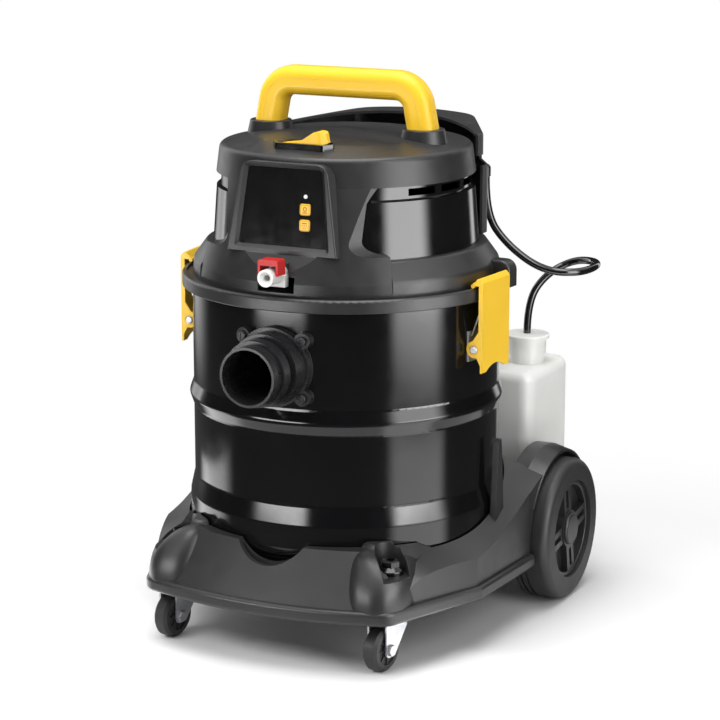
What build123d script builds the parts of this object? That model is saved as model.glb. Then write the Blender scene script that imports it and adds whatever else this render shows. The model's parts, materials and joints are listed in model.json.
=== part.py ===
from build123d import *
import os
from math import atan2, cos, degrees, hypot, radians, sin, sqrt, tan

os.makedirs("parts", exist_ok=True)

# All lengths in millimetres. The tank axis is x = y = 0, the front is -Y and the floor is z = 0.

# Clearances
SEAT_GAP = 0.15
SLIDE_GAP = 0.3
RUN_GAP = 0.05

# Tank
TANK_R = 175.0
TANK_WALL = 1.5
TANK_H = 296.0
FOOT_STAND = 5.0
FOOT_CORNER_R = 24.0
FOOT_H = 50.0
FOOT_BLEND_H = 22.0
FOOT_BLEND_R = 14.0
BEAD_STAND = 5.0
BEAD_RISE = 166.0
BEAD_HALF = 14.0
BEAD_R = 8.0
RIM_STAND = 5.5
RIM_H = 7.0
RIM_ROLL_R = 2.5

# Inlet port
PORT_DROP = 68.7
PORT_LENGTH = 63.0
PORT_REACH_IN = 25.0
PORT_BORE_R = 30.0
PORT_WALL = 2.8
PORT_RIDGE_STAND = 3.7
PORT_COLLAR_STAND = 7.2
PORT_COLLAR_L = 17.0
PORT_GROOVE_L = 6.0
PORT_RIDGE_L = 14.0
PORT_PAD_T = 7.0
PORT_PAD_STAND = 4.0
PORT_GASKET_T = 2.0
PORT_LOBE_X = 36.0
PORT_LOBE_Z = 31.5
PORT_LOBE_R = 9.0
PORT_SCREW_R = 2.5
PORT_SCREW_HEAD_R = 5.5
PORT_SCREW_HEAD_H = 3.5
PORT_SCREW_L = 24.0
DRIVE_HALF = 3.4
DRIVE_SLOT = 1.2
DEFLECTOR_WALL = 2.85
DEFLECTOR_START = 9.0
DEFLECTOR_RUN = 24.0
DEFLECTOR_SPOUT = 6.0

# Rear wheels
WHEEL_R = 83.8
WHEEL_W = 46.0
WHEEL_GAP = 5.0
SHOULDER_R = 9.0
TREAD_GROOVE_W = 2.5
TREAD_GROOVE_DEPTH = 2.0
TREAD_GROOVES = 2
HUB_R = 57.65
HUB_RIM = 5.0
HUB_INSET = 4.0
HUB_WEB_T = 6.0
HUB_RECESS = 13.0
HUB_BOSS_R = 22.0
CAP_R_INSET = 3.0
SPOKES = 4
SPOKE_W = 21.0
SPOKE_GROOVE_W = 7.0
SPOKE_TURN = 80.0
AXLE_R = 8.0

# Casters
CASTER_R = 25.0
CASTER_HEAD = 10.0
CASTER_TRAIL = 18.0
CASTER_TURN = -8.0
CASTER_HALF_W = 9.0
CASTER_SIDE_GAP = 1.5
CASTER_PLATE_T = 4.0
CASTER_PLATE_R = 24.0
CASTER_STEM_R = 5.0
CASTER_AXLE_R = 4.0
CASTER_RIBS = 8
CASTER_OUT = 11.0
CASTER_BACK = 1.0
CASTER_BOSS_R = 25.0
CASTER_STEM_L = 19.0
CASTER_COLLAR_T = 3.0
YOKE_R = 19.0
YOKE_T = 3.2
FORK_T = 2.0
FORK_ARM_HALF = 8.0

# Base dolly
BASE_RIM_H = 16.0
BASE_RIM_R = 5.0
BASE_WALL = 4.0
BASE_DECK_H = 30.0
WELL_GAP = 2.5
WELL_FLOOR_T = 4.0
DECK_OVER_AXLE = 8.2
RIM_FRONT = 48.0
RIM_BOW = 26.0
RIM_CORNER = 31.0
RIM_CORNER_R = 22.0
RIM_SIDE = 21.5
RIM_SIDE_Y = -73.0
RIM_REAR = 5.0
RIM_LEDGE = 6.5
DECK_FRONT = 7.5
DECK_CORNER = 8.0
DECK_CORNER_SET = 22.5
DECK_SIDE_SET = 22.5
DECK_SIDE_Y = -62.0
DECK_REAR_SET = 12.5
REAR_DECK_HALF = 172.0
REAR_DECK_LIP = 6.0
REAR_CORNER_R = 26.0
TRAY_LIP = 14.0
LOBE_X = 120.0
LOBE_SET = 24.5
LOBE_TOP_H = 6.0
LOBE_FOOT_R = 41.0
LOBE_TOP_R = 16.0
LOBE_LEAN = 16.0
LOBE_EDGE_R = 8.0
BOLT_SEAT_H = 30.0
BOLT_POCKET_R = 17.5
BOLT_FLANGE_R = 15.0
BOLT_FLANGE_H = 8.0
BOLT_HEX_R = 10.5
BOLT_H = 15.0
BOLT_SOCKET_R = 4.5
BOLT_SOCKET_DEPTH = 4.0
BOLT_R = 4.0
BOLT_L = 16.0
NOTCH_HALF = 40.0
NOTCH_DEPTH = 21.0
LUG_H = 125.0
LUG_FOOT_W = 30.0
LUG_TOP_W = 7.0
LUG_T = 7.0
LUG_ANGLE = 1.5
LUG_STAND = 1.0
LUG_ROOT = 18.0
FENDER_W = 34.0
FENDER_CREST = 14.0
FENDER_T = 8.0
FENDER_LIP = 3.0
FENDER_JOIN = 48.0
ARCH_CLEAR = 6.2
ARCH_GAP = 3.6
WHEEL_REACH = 54.0
ARM_START = 4.5
ARM_IN = 32.5
ARM_OUT = 6.0

# Lid
LID_GASKET_T = 3.0
LID_GASKET_IN = 3.5
LID_GASKET_W = 10.0
LID_SPIGOT_GAP = 3.5
LID_SPIGOT_T = 4.0
FLANGE_GAP = 2.4
FLANGE_WALL = 3.6
FLANGE_DROP = 9.0
FLANGE_H = 15.0
FLANGE_LIP = 5.0
FLANGE_EDGE_R = 1.2
FLANGE_ROUND_R = 3.0
GROOVE_DEPTH = 3.4
LID_STEP_IN = 12.9
LID_STEP_RISE = 9.0
LID_SKIRT_H = 12.0
LID_SHOULDER_H = 21.0
HEAD_STEP = 23.3
LID_CROWN_W = 7.7
LID_WALL = 5.0
LID_FLOOR_RISE = 6.5
LID_FLOOR_T = 3.5
LID_CORNER_R = 8.0
LID_CROWN_R = 5.0
LID_RISE_R = 6.0
LID_EYE_R = 42.0
LEDGE_DEPTH = 4.0
LEDGE_W = 7.3
SEAM_ANGLE = 43.0
GUARD_Y = 46.0
GUARD_W = 20.0
GUARD_RISE = 20.0
GUARD_DROP = 9.7
GUARD_OUT = 3.5
GUARD_IN = 9.6
GUARD_R = 12.0
GUARD_EDGE_R = 3.0

# Waist drum
WAIST_H = 62.0
WAIST_TAPER = 4.3
WAIST_WALL = 3.0
NECK_IN = 4.5
NECK_H = 16.0
NECK_CHAMFER = 2.0
WAIST_FRONT_ANGLE = 27.0
NECK_SLOTS = 5
NECK_SLOT_PITCH = 19.0
NECK_SLOT_W = 36.0
NECK_SLOT_H = 8.0
NECK_SLOT_START = 62.0

# Top cover
CAP_STAND = 0.2
CAP_H = 31.0
CAP_TAPER = 4.0
CAP_ROUND_R = 7.0
DOME_RISE = 16.5
DOME_EDGE_RISE = 9.0
DOME_EDGE_W = 42.2
DOME_ROUND_R = 60.0
COVER_WALL = 3.6
COVER_GAP = 2.7
APRON_IN = 1.4
APRON_KNEE = 10.0
NOSE_STAND = 8.7
NOSE_LEAN = 9.0
NOSE_FOOT_RISE = 6.0
NOSE_TOP_DROP = 4.0
NOSE_FOOT_HALF = 67.0
NOSE_TOP_HALF = 51.0
NOSE_TOP_R = 15.0
NOSE_DEPTH = 45.0
NOSE_EDGE_R = 1.8
NOSE_CORNER_R = 2.0
NOSE_CORE = 5.0
CHIN_SLOPE = 60.0
CHIN_DROP = 60.0
WINDOW_IN = 18.0
WINDOW_START = 48.3
WINDOW_CANT = 62.0
WINDOW_CORNER_R = 17.0
PANEL_DEPTH = 6.5
PANEL_BEVEL = 4.0
PANEL_T = 3.0
PANEL_FOOT = 9.0
PANEL_HEAD = 6.0
PANEL_FOOT_HALF = 54.0
PANEL_TOP_HALF = 44.5
PANEL_CORNER_R = 3.0
BUTTON_X = 26.0
BUTTON_SIZE = 12.5
BUTTON_CORNER_R = 2.5
BUTTON_LOW = 33.0
BUTTON_PITCH = 17.0
BUTTON_PROUD = 1.2
BUTTON_ROOT = 1.0
BUTTON_TRAVEL_ROOM = 1.4
LED_RISE = 14.0
LED_R = 2.2
LED_PROUD = 0.8

# Rocker switch
ROCKER_BACK = 42.0
ROCKER_SINK = 8.0
BEZEL_HALF_L = 37.5
BEZEL_HALF_W = 13.5
BEZEL_POINT = 9.0
BEZEL_SINK = 4.5
BEZEL_H = 16.0
BEZEL_WALL = 3.0
BEZEL_FLOOR = 2.0
BEZEL_TIP_R = 3.0
BEZEL_SHOULDER_R = 6.0
BEZEL_EDGE_R = 1.0
ROCKER_GAP = 0.6
ROCKER_TILT = 8.0
ROCKER_PIN_R = 2.0
ROCKER_PIN_HALF = 12.0
ROCKER_HIGH = 14.0
ROCKER_LOW = 5.0
ROCKER_KEEL = 5.0
ROCKER_HALF_L = 32.0

# Handle
HANDLE_FOOT_X = 97.5
HANDLE_LEAN = 11.5
HANDLE_SINK = 10.5
HANDLE_RISE = 50.0
HANDLE_BEND_R = 27.0
HANDLE_W = 33.0
HANDLE_DEPTH = 32.0
HANDLE_EDGE_R = 12.0
HANDLE_SEAM = 3.0
SOCKET_RISE = 3.5
SOCKET_ROOT = 21.5
SOCKET_TOP_R = 23.5
SOCKET_FOOT_R = 29.0

# Rear housing
HOUSING_FRONT_HALF = 131.0
HOUSING_TOP_HALF = 125.0
HOUSING_DEPTH = 90.0
HOUSING_LEAD = 16.0
HOUSING_REAR_HALF = 74.0
HOUSING_BACK = 39.7
HOUSING_EDGE_DROP = 13.5
HOUSING_CREST = 0.5
HOUSING_WALL = 3.0
HOUSING_GAP = 1.0
HOUSING_CORNER_R = 24.0
HOUSING_SIDE_R = 18.0
HOUSING_EDGE_R = 4.0
EXHAUST_H = 11.0
EXHAUST_IN = 20.0
EXHAUST_BACK = 50.0
PUMP_BACK = 21.0
PUMP_R = 14.0
PUMP_L = 60.0
PUMP_HEAD_L = 38.0
PUMP_HEAD_W = 25.0
PUMP_HEAD_H = 34.0
PUMP_PORT_R = 4.0
PUMP_PORT_H = 12.0
BARB_X = 104.0
BARB_BACK = 33.0
BARB_DROP = 14.0
BARB_R = 5.5
BARB_SHOULDER = 9.0
BARB_ROOT = 24.0
NIPPLE_R = 2.9
NIPPLE_L = 12.0

# Solution bottle
BOTTLE_SIDE = 19.0
BOTTLE_GAP = 7.0
BOTTLE_DEPTH = 125.0
BOTTLE_H = 156.0
BOTTLE_WALL = 2.0
BOTTLE_CORNER_R = 17.0
BOTTLE_TOP_R = 12.0
BOTTLE_FOOT_R = 5.0
BOTTLE_TRAY_GAP = 3.0
NECK_SIDE = 33.0
NECK_FRONT = 65.0
BOTTLE_NECK_R = 21.0
BOTTLE_NECK_H = 29.8
BOTTLE_CAP_R = 27.0
BOTTLE_CAP_T = 5.05
CAP_SKIRT_T = 2.0
CAP_SKIRT_L = 20.0
PICKUP_R = 3.5
PICKUP_WALL = 1.2
PICKUP_LIFT = 8.0
PICKUP_PLUG = 4.0

# Latches
LATCH_ANGLE = -5.0
LATCH_PIVOT_STAND = 8.0
LATCH_PIVOT_DROP = 59.0
LATCH_FACE_STAND = 16.75
LATCH_SHEET = 2.5
LATCH_CHEEK = 2.2
LATCH_HALF_W = 31.5
LATCH_CROWN = 11.5
LATCH_FOOT = 26.0
LATCH_TIP_IN = 6.0
LATCH_HOOK_RISE = 3.2
LATCH_ROLL_R = 2.2
LATCH_EAR_R = 9.5
LATCH_PIN_R = 2.5
LATCH_HEAD_R = 4.5
LATCH_HEAD_T = 2.6
LATCH_SCOOP_DEPTH = 7.0
LATCH_SCOOP_HALF = 22.0
LATCH_SPREAD = 20.0
LATCH_CLEAR = 1.7
BRACKET_T = 2.0
BRACKET_H = 34.0
BRACKET_EAR_R = 6.0
SPRING_R = 1.1
SPRING_IN = 7.0
SPRING_FOOT = 14.0
SPRING_RISE = 40.0
SPRING_BEND_R = 6.0

# Coupling
COUPLING_RISE = 19.0
COUPLING_STAND = 20.0
COUPLING_L = 32.0
COUPLING_R = 9.4
COUPLING_BORE_R = 3.7
COUPLING_SINK_R = 7.2
COUPLING_SINK_L = 4.0
COUPLING_FLANGE_R = 11.4
COUPLING_FLANGE_T = 4.0
COUPLING_FOOT_L = 8.0
COUPLING_FOOT_H = 13.0
COUPLING_END_T = 3.0
CLIP_WALL = 2.4
CLIP_ROOF = 6.3
CLIP_TRAVEL = 3.0
CLIP_LIFT = 2.0
CLIP_SET = 6.0
CLIP_EDGE_R = 3.0
RECESS_HALF = 22.0
RECESS_RISE = 3.0
RECESS_GAP = 1.0

# Motor and float
MOTOR_SEAL_T = 4.0
MOTOR_CASE_R = 72.0
MOTOR_CASE_H = 40.0
MOTOR_CASE_WALL = 4.0
MOTOR_CAN_R = 50.0
MOTOR_H = 90.0
MOTOR_PORTS = 6
MOTOR_PORT_W = 22.0
MOTOR_PORT_H = 16.0
IMPELLER_R = 62.0
IMPELLER_T = 3.0
IMPELLER_H = 24.0
VANES = 6
VANE_T = 2.4
VANE_L = 48.0
VANE_TURN = 28.0
ROTOR_HUB_R = 11.0
SHAFT_R = 5.0
SHAFT_TAIL = 6.0
FLOAT_R = 24.0
CAGE_GAP = 4.0
CAGE_FLANGE_R = 55.0
CAGE_H = 71.85
CAGE_T = 4.0
CAGE_RING_R = 20.0
CAGE_SEAT_R = 18.0
CAGE_BARS = 4
CAGE_BAR_W = 7.0

# Heights that follow from the sizes above
AXLE_Z = WHEEL_R
RIM_BOTTOM_Z = 2 * CASTER_R + CASTER_HEAD
RIM_TOP_Z = RIM_BOTTOM_Z + BASE_RIM_H
TANK_BOTTOM_Z = AXLE_Z + AXLE_R + DECK_OVER_AXLE
TANK_TOP_Z = TANK_BOTTOM_Z + TANK_H
BASE_DECK_Z = TANK_BOTTOM_Z + BASE_DECK_H
LOBE_TOP_Z = BASE_DECK_Z + LOBE_TOP_H
BEAD_Z = TANK_BOTTOM_Z + BEAD_RISE
PORT_Z = TANK_TOP_Z - PORT_DROP
LATCH_PIVOT_Z = TANK_TOP_Z - LATCH_PIVOT_DROP
LID_SEAT_Z = TANK_TOP_Z + LID_GASKET_T
FLANGE_BOTTOM_Z = LID_SEAT_Z - FLANGE_DROP
FLANGE_TOP_Z = FLANGE_BOTTOM_Z + FLANGE_H
LID_STEP_Z = LID_SEAT_Z + LID_STEP_RISE
LID_KNEE_Z = LID_STEP_Z + LID_SKIRT_H
LID_TOP_Z = LID_KNEE_Z + LID_SHOULDER_H
LID_FLOOR_Z = LID_SEAT_Z + LID_FLOOR_RISE
LID_UNDER_Z = LID_FLOOR_Z - LID_FLOOR_T
LEDGE_Z = LID_TOP_Z - LEDGE_DEPTH
GROOVE_Z = FLANGE_TOP_Z - GROOVE_DEPTH
CAGE_BOTTOM_Z = LID_UNDER_Z - SEAT_GAP - CAGE_H
MOTOR_LOW_Z = LID_FLOOR_Z + MOTOR_SEAL_T + 2 * SEAT_GAP
WAIST_TOP_Z = LID_TOP_Z + WAIST_H
CAP_BOTTOM_Z = WAIST_TOP_Z + NECK_H
CAP_EDGE_Z = CAP_BOTTOM_Z + CAP_H
DOME_Z = CAP_EDGE_Z + DOME_RISE
NOSE_FOOT_Z = LID_TOP_Z + NOSE_FOOT_RISE
NOSE_TOP_Z = CAP_EDGE_Z - NOSE_TOP_DROP
BUTTON_LOW_Z = NOSE_FOOT_Z + BUTTON_LOW
BUTTON_HIGH_Z = BUTTON_LOW_Z + BUTTON_PITCH
LED_Z = BUTTON_HIGH_Z + LED_RISE
ROCKER_PIVOT_Z = DOME_Z - ROCKER_SINK
BEZEL_TOP_Z = DOME_Z - BEZEL_SINK
BEZEL_BOTTOM_Z = BEZEL_TOP_Z - BEZEL_H
HANDLE_FOOT_Z = DOME_Z - HANDLE_SINK
HANDLE_BAR_Z = DOME_Z + HANDLE_RISE
SOCKET_TOP_Z = DOME_Z + SOCKET_RISE
COUPLING_Z = LID_STEP_Z + COUPLING_RISE
CLIP_TOP_Z = COUPLING_Z + COUPLING_R + SLIDE_GAP + CLIP_TRAVEL + CLIP_ROOF
BARB_Z = CAP_BOTTOM_Z - BARB_DROP
BARB_SHOULDER_Z = BARB_Z - BARB_SHOULDER
BOTTLE_SHOULDER_Z = TANK_BOTTOM_Z + BOTTLE_H
BOLT_SEAT_Z = RIM_TOP_Z + BOLT_SEAT_H
BOTTLE_NECK_Z = BOTTLE_SHOULDER_Z + BOTTLE_NECK_H
BOTTLE_CAP_Z = BOTTLE_NECK_Z + SEAT_GAP + BOTTLE_CAP_T

# Radii and places that follow from the sizes above
PORT_LIP_R = PORT_BORE_R + PORT_WALL
PORT_RIDGE_R = PORT_LIP_R + PORT_RIDGE_STAND
PORT_COLLAR_R = PORT_LIP_R + PORT_COLLAR_STAND
PORT_MOUTH_Y = -TANK_R - PORT_LENGTH
PORT_SPIGOT_Y = -TANK_R + PORT_REACH_IN
WELL_R = TANK_R + FOOT_STAND + WELL_GAP
FLANGE_R = TANK_R + RIM_STAND + FLANGE_GAP + FLANGE_WALL
LID_STEP_R = FLANGE_R - LID_STEP_IN
WAIST_FOOT_R = LID_STEP_R - HEAD_STEP
LID_TOP_R = WAIST_FOOT_R + LID_CROWN_W
WAIST_TOP_R = WAIST_FOOT_R - WAIST_TAPER
NECK_R = WAIST_TOP_R - NECK_IN
CAP_R = WAIST_TOP_R + CAP_STAND
CAP_EDGE_R = CAP_R - CAP_TAPER
COVER_IN_R = WAIST_FOOT_R + COVER_GAP
HOUSING_REAR_Y = WAIST_FOOT_R + HOUSING_BACK
HOUSING_FRONT_Y = HOUSING_REAR_Y - HOUSING_DEPTH
HOUSING_START_Y = HOUSING_FRONT_Y - HOUSING_LEAD
EXHAUST_REAR_Y = HOUSING_REAR_Y - EXHAUST_BACK
PUMP_Y = HOUSING_REAR_Y - PUMP_BACK
BARB_Y = HOUSING_REAR_Y - BARB_BACK
APRON_FOOT_R = LID_STEP_R - APRON_IN
NOSE_FOOT_Y = -WAIST_FOOT_R - NOSE_STAND
NOSE_TOP_Y = NOSE_FOOT_Y + NOSE_LEAN
ROCKER_Y = ROCKER_BACK - WAIST_TOP_R
LATCH_PIVOT_R = TANK_R + LATCH_PIVOT_STAND
LATCH_FACE_R = TANK_R + LATCH_FACE_STAND
LATCH_TIP_R = FLANGE_R - LATCH_TIP_IN
LATCH_TOP_Z = FLANGE_TOP_Z + LATCH_CROWN
LATCH_FOOT_Z = LATCH_PIVOT_Z - LATCH_FOOT
COUPLING_FACE_Y = -TANK_R - COUPLING_STAND
COUPLING_BACK_Y = COUPLING_FACE_Y + COUPLING_L
CLIP_HALF_W = COUPLING_R + SLIDE_GAP + CLIP_WALL
HANDLE_SHOULDER_X = HANDLE_FOOT_X - HANDLE_LEAN
ARCH_R = WHEEL_R + ARCH_CLEAR
FENDER_R = ARCH_R + FENDER_T
WHEEL_IN_X = REAR_DECK_HALF + WHEEL_GAP
WHEEL_OUT_X = WHEEL_IN_X + WHEEL_W
FENDER_OUT_X = REAR_DECK_HALF + FENDER_W
FENDER_CREST_X = REAR_DECK_HALF + FENDER_CREST
WELL_REACH = sqrt(max((WELL_R + BASE_WALL) ** 2 - WHEEL_IN_X ** 2, 0))
AXLE_Y = max(WELL_REACH, WHEEL_REACH) + ARCH_R + ARCH_GAP
ARCH_FRONT_Y = AXLE_Y - ARCH_R - SLIDE_GAP
BOTTLE_FRONT_Y = TANK_R + FOOT_STAND + BOTTLE_GAP
BOTTLE_REAR_Y = BOTTLE_FRONT_Y + BOTTLE_DEPTH
REAR_DECK_Y = BOTTLE_REAR_Y + REAR_DECK_LIP
BOTTLE_HALF = REAR_DECK_HALF - BOTTLE_SIDE
NECK_X = BOTTLE_HALF - NECK_SIDE
NECK_Y = BOTTLE_FRONT_Y + NECK_FRONT
LOBE_Y = LOBE_SET - WELL_R
CASTER_X = LOBE_X + CASTER_OUT
CASTER_Y = LOBE_Y + CASTER_BACK
CAGE_R = FLOAT_R + CAGE_GAP + CAGE_T
BASE_FRAME_SHIFT = -(PORT_MOUTH_Y + REAR_DECK_Y) / 2

# Solution hose
HOSE_R = 4.5
HOSE_BORE_R = 3.0
HOSE_POINTS = (
    (BARB_X, BARB_Y, BARB_SHOULDER_Z - SEAT_GAP),
    (BARB_X, BARB_Y, 452.0),
    (128.0, 163.0, 416.0),
    (168.0, 180.0, 384.0),
    (210.0, 200.0, 382.0),
    (214.0, 255.5, 385.0),
    (168.0, 286.5, 381.0),
    (136.0, 268.0, 362.0),
    (NECK_X, NECK_Y, 330.0),
    (NECK_X, NECK_Y, BOTTLE_CAP_Z + SEAT_GAP),
)

# Working planes and axes
NOSE_TILT = degrees(atan2(NOSE_TOP_Y - NOSE_FOOT_Y, NOSE_TOP_Z - NOSE_FOOT_Z))
NOSE_LENGTH = hypot(NOSE_TOP_Y - NOSE_FOOT_Y, NOSE_TOP_Z - NOSE_FOOT_Z)
PANEL_PLANE = Plane(
    origin=(0, NOSE_FOOT_Y, NOSE_FOOT_Z),
    x_dir=(1, 0, 0),
    z_dir=(0, -cos(radians(NOSE_TILT)), sin(radians(NOSE_TILT))),
)
AXLE_AXIS = Axis((0, AXLE_Y, AXLE_Z), (1, 0, 0))
AXLE_PLANE = Plane(origin=(0, AXLE_Y, AXLE_Z), x_dir=(1, 0, 0), z_dir=(0, -1, 0))
CASTER_AXIS = Axis((0, -CASTER_TRAIL, CASTER_R), (1, 0, 0))
CASTER_PLANE = Plane(origin=(0, -CASTER_TRAIL, CASTER_R), x_dir=(1, 0, 0), z_dir=(0, -1, 0))
YOKE_TOP_Z = RIM_BOTTOM_Z - CASTER_PLATE_T - SLIDE_GAP
YOKE_BOTTOM_Z = YOKE_TOP_Z - YOKE_T

# Length of a cutting tool that has to pass right through
THROUGH = 4 * TANK_R


def turned(*corners):
    """Solid of revolution about the tank axis from (radius, height, corner radius) points."""
    path = FilletPolyline(*[c[:2] for c in corners], radius=[c[2] for c in corners], close=True)
    return revolve(Plane.XZ * make_face(path), Axis.Z)


def sharp(*points):
    """The same from plain (radius, height) points."""
    return revolve(Plane.XZ * make_face(Polyline(*points, close=True)), Axis.Z)


def sector(half_angle, low, high):
    """Wedge about the tank axis centred on the front."""
    wide = THROUGH * tan(radians(half_angle))
    outline = Polyline((0, 0), (-wide, -THROUGH), (wide, -THROUGH), close=True)
    return Pos(0, 0, low) * extrude(make_face(outline), high - low)


def rod(start, end, radius):
    """Round bar between two points."""
    start = Vector(*start)
    end = Vector(*end)
    along = end - start
    return extrude(Plane(origin=start, z_dir=along) * Circle(radius), along.length)


def block(low, high):
    """Box between two corner points."""
    size = [b - a for a, b in zip(low, high)]
    middle = [(a + b) / 2 for a, b in zip(low, high)]
    return Pos(*middle) * Box(*size)


def upright(x, y, low, high, radius):
    """Round bar standing at a place in plan."""
    return rod((x, y, low), (x, y, high), radius)


def mirrored(shape):
    return mirror(shape, about=Plane.YZ)


def both(shape):
    return shape + mirrored(shape)


def on_axle(*corners):
    """Solid of revolution about the rear axle from (x, radius, corner radius) points."""
    path = FilletPolyline(*[c[:2] for c in corners], radius=[c[2] for c in corners], close=True)
    return revolve(AXLE_PLANE * make_face(path), AXLE_AXIS)


def axle_rod(start, end, radius):
    return rod((start, AXLE_Y, AXLE_Z), (end, AXLE_Y, AXLE_Z), radius)


def tank_outline(inset, low, high):
    wall = TANK_R - inset
    foot_top = TANK_BOTTOM_Z + FOOT_H
    return [
        (0, low, 0),
        (wall + FOOT_STAND, low, FOOT_CORNER_R - inset),
        (wall + FOOT_STAND, foot_top, FOOT_BLEND_R),
        (wall, foot_top + FOOT_BLEND_H, FOOT_BLEND_R),
        (wall, BEAD_Z - BEAD_HALF, BEAD_R),
        (wall + BEAD_STAND, BEAD_Z, BEAD_R),
        (wall, BEAD_Z + BEAD_HALF, BEAD_R),
        (wall, high, 0),
        (0, high, 0),
    ]


def make_tank():
    shell = turned(*tank_outline(0, TANK_BOTTOM_Z, TANK_TOP_Z))
    rim_in = TANK_R - TANK_WALL / 2
    rim = turned(
        (rim_in, TANK_TOP_Z - RIM_H, 0),
        (TANK_R + RIM_STAND, TANK_TOP_Z - RIM_H, RIM_ROLL_R),
        (TANK_R + RIM_STAND, TANK_TOP_Z, RIM_ROLL_R),
        (rim_in, TANK_TOP_Z, 0),
    )
    inside = turned(*tank_outline(TANK_WALL, TANK_BOTTOM_Z + TANK_WALL, TANK_TOP_Z + RIM_H))
    tank = shell + rim - inside - port_rod(0, PORT_Z, PORT_LIP_R + SLIDE_GAP)
    for x, z in port_lobes():
        tank -= port_rod(x, z, PORT_SCREW_R + SEAT_GAP)
    return tank


def port_rod(x, z, radius):
    """Bar along the inlet through the front wall of the drum."""
    return rod((x, PORT_MOUTH_Y, z), (x, PORT_SPIGOT_Y, z), radius)


def port_lobes():
    return [(sx * PORT_LOBE_X, PORT_Z + sz * PORT_LOBE_Z) for sx in (-1, 1) for sz in (-1, 1)]


def port_pad(inner_r, outer_r):
    """Lobed flange that follows the drum wall between two radii."""
    height = 4 * PORT_COLLAR_R
    pad = port_rod(0, PORT_Z, PORT_COLLAR_R + PORT_PAD_STAND)
    for x, z in port_lobes():
        pad += port_rod(x, z, PORT_LOBE_R)
    return pad & (Pos(0, 0, PORT_Z) * (Cylinder(outer_r, height) - Cylinder(inner_r, height)))


def make_port():
    base_r = TANK_R + PORT_GASKET_T + SEAT_GAP
    face_y = -base_r - PORT_PAD_T
    groove_y = face_y - PORT_COLLAR_L
    ridge_y = groove_y - PORT_GROOVE_L
    port = port_pad(base_r, base_r + PORT_PAD_T)
    port += rod((0, PORT_SPIGOT_Y, PORT_Z), (0, groove_y, PORT_Z), PORT_COLLAR_R)
    port += rod((0, groove_y, PORT_Z), (0, PORT_MOUTH_Y, PORT_Z), PORT_LIP_R)
    port += rod((0, ridge_y, PORT_Z), (0, ridge_y - PORT_RIDGE_L, PORT_Z), PORT_RIDGE_R)
    port -= Pos(0, 0, PORT_Z) * Cylinder(base_r, 4 * PORT_COLLAR_R)
    port += rod((0, PORT_SPIGOT_Y, PORT_Z), (0, face_y, PORT_Z), PORT_LIP_R)
    port -= rod((0, PORT_SPIGOT_Y + 1, PORT_Z), (0, PORT_MOUTH_Y - 1, PORT_Z), PORT_BORE_R)
    for x, z in port_lobes():
        port -= port_rod(x, z, PORT_SCREW_R + SEAT_GAP)
    return port


def port_seat_y(x):
    return -sqrt((TANK_R + PORT_GASKET_T + SEAT_GAP + PORT_PAD_T) ** 2 - x ** 2)


def make_port_gasket():
    gasket = port_pad(TANK_R + SEAT_GAP, TANK_R + PORT_GASKET_T)
    gasket -= port_rod(0, PORT_Z, PORT_LIP_R + SLIDE_GAP)
    for x, z in port_lobes():
        gasket -= port_rod(x, z, PORT_SCREW_R + SEAT_GAP)
    return gasket


def make_port_screws():
    screws = []
    for x, z in port_lobes():
        seat = port_seat_y(abs(x) - PORT_SCREW_HEAD_R) - SEAT_GAP
        crown = seat - PORT_SCREW_HEAD_H
        screw = rod((x, seat + PORT_SCREW_L, z), (x, seat, z), PORT_SCREW_R)
        head = rod((x, seat, z), (x, crown, z), PORT_SCREW_HEAD_R)
        head = fillet(head.edges().group_by(Axis.Y)[0], PORT_SCREW_HEAD_H / 2)
        slot = block(
            (x - DRIVE_HALF, crown - DRIVE_SLOT, z - DRIVE_SLOT / 2),
            (x + DRIVE_HALF, crown + DRIVE_SLOT, z + DRIVE_SLOT / 2),
        )
        head -= slot + slot.rotate(Axis((x, 0, z), (0, 1, 0)), 90)
        screws.append(screw + head)
    return Compound([screw.solid() for screw in screws])


def make_deflector():
    inner_r = PORT_LIP_R + SEAT_GAP
    outer_r = inner_r + DEFLECTOR_WALL
    start = -TANK_R + DEFLECTOR_START
    end = PORT_SPIGOT_Y + DEFLECTOR_RUN
    hood = rod((0, start, PORT_Z), (0, end, PORT_Z), outer_r)
    hood -= rod((0, start - 1, PORT_Z), (0, end - DEFLECTOR_WALL, PORT_Z), inner_r)
    hood -= block(
        (-outer_r - 1, PORT_SPIGOT_Y + 1, PORT_Z - outer_r - 1),
        (outer_r + 1, end + 1, PORT_Z - DEFLECTOR_SPOUT),
    )
    return hood


def plan(front, corner, middle, back):
    """Front half of the base in plan: bowed front edge and straight tapering sides."""
    arc = ThreePointArc((-corner[0], corner[1]), (0, front), corner)
    right = [middle, back]
    left = [(-x, y) for x, y in reversed(right)]
    rest = Polyline(corner, *right, *left, (-corner[0], corner[1]))
    return make_face([arc, rest])


def rim_plan(inset):
    front = -WELL_R - RIM_FRONT + inset
    face = plan(
        front,
        (LOBE_X + RIM_CORNER - inset, front + RIM_BOW),
        (WELL_R + RIM_SIDE - inset, RIM_SIDE_Y),
        (FENDER_OUT_X + RIM_REAR - inset, ARCH_FRONT_Y),
    )
    return fillet(face.vertices().group_by(Axis.Y)[0], RIM_CORNER_R - inset / 2)


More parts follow.
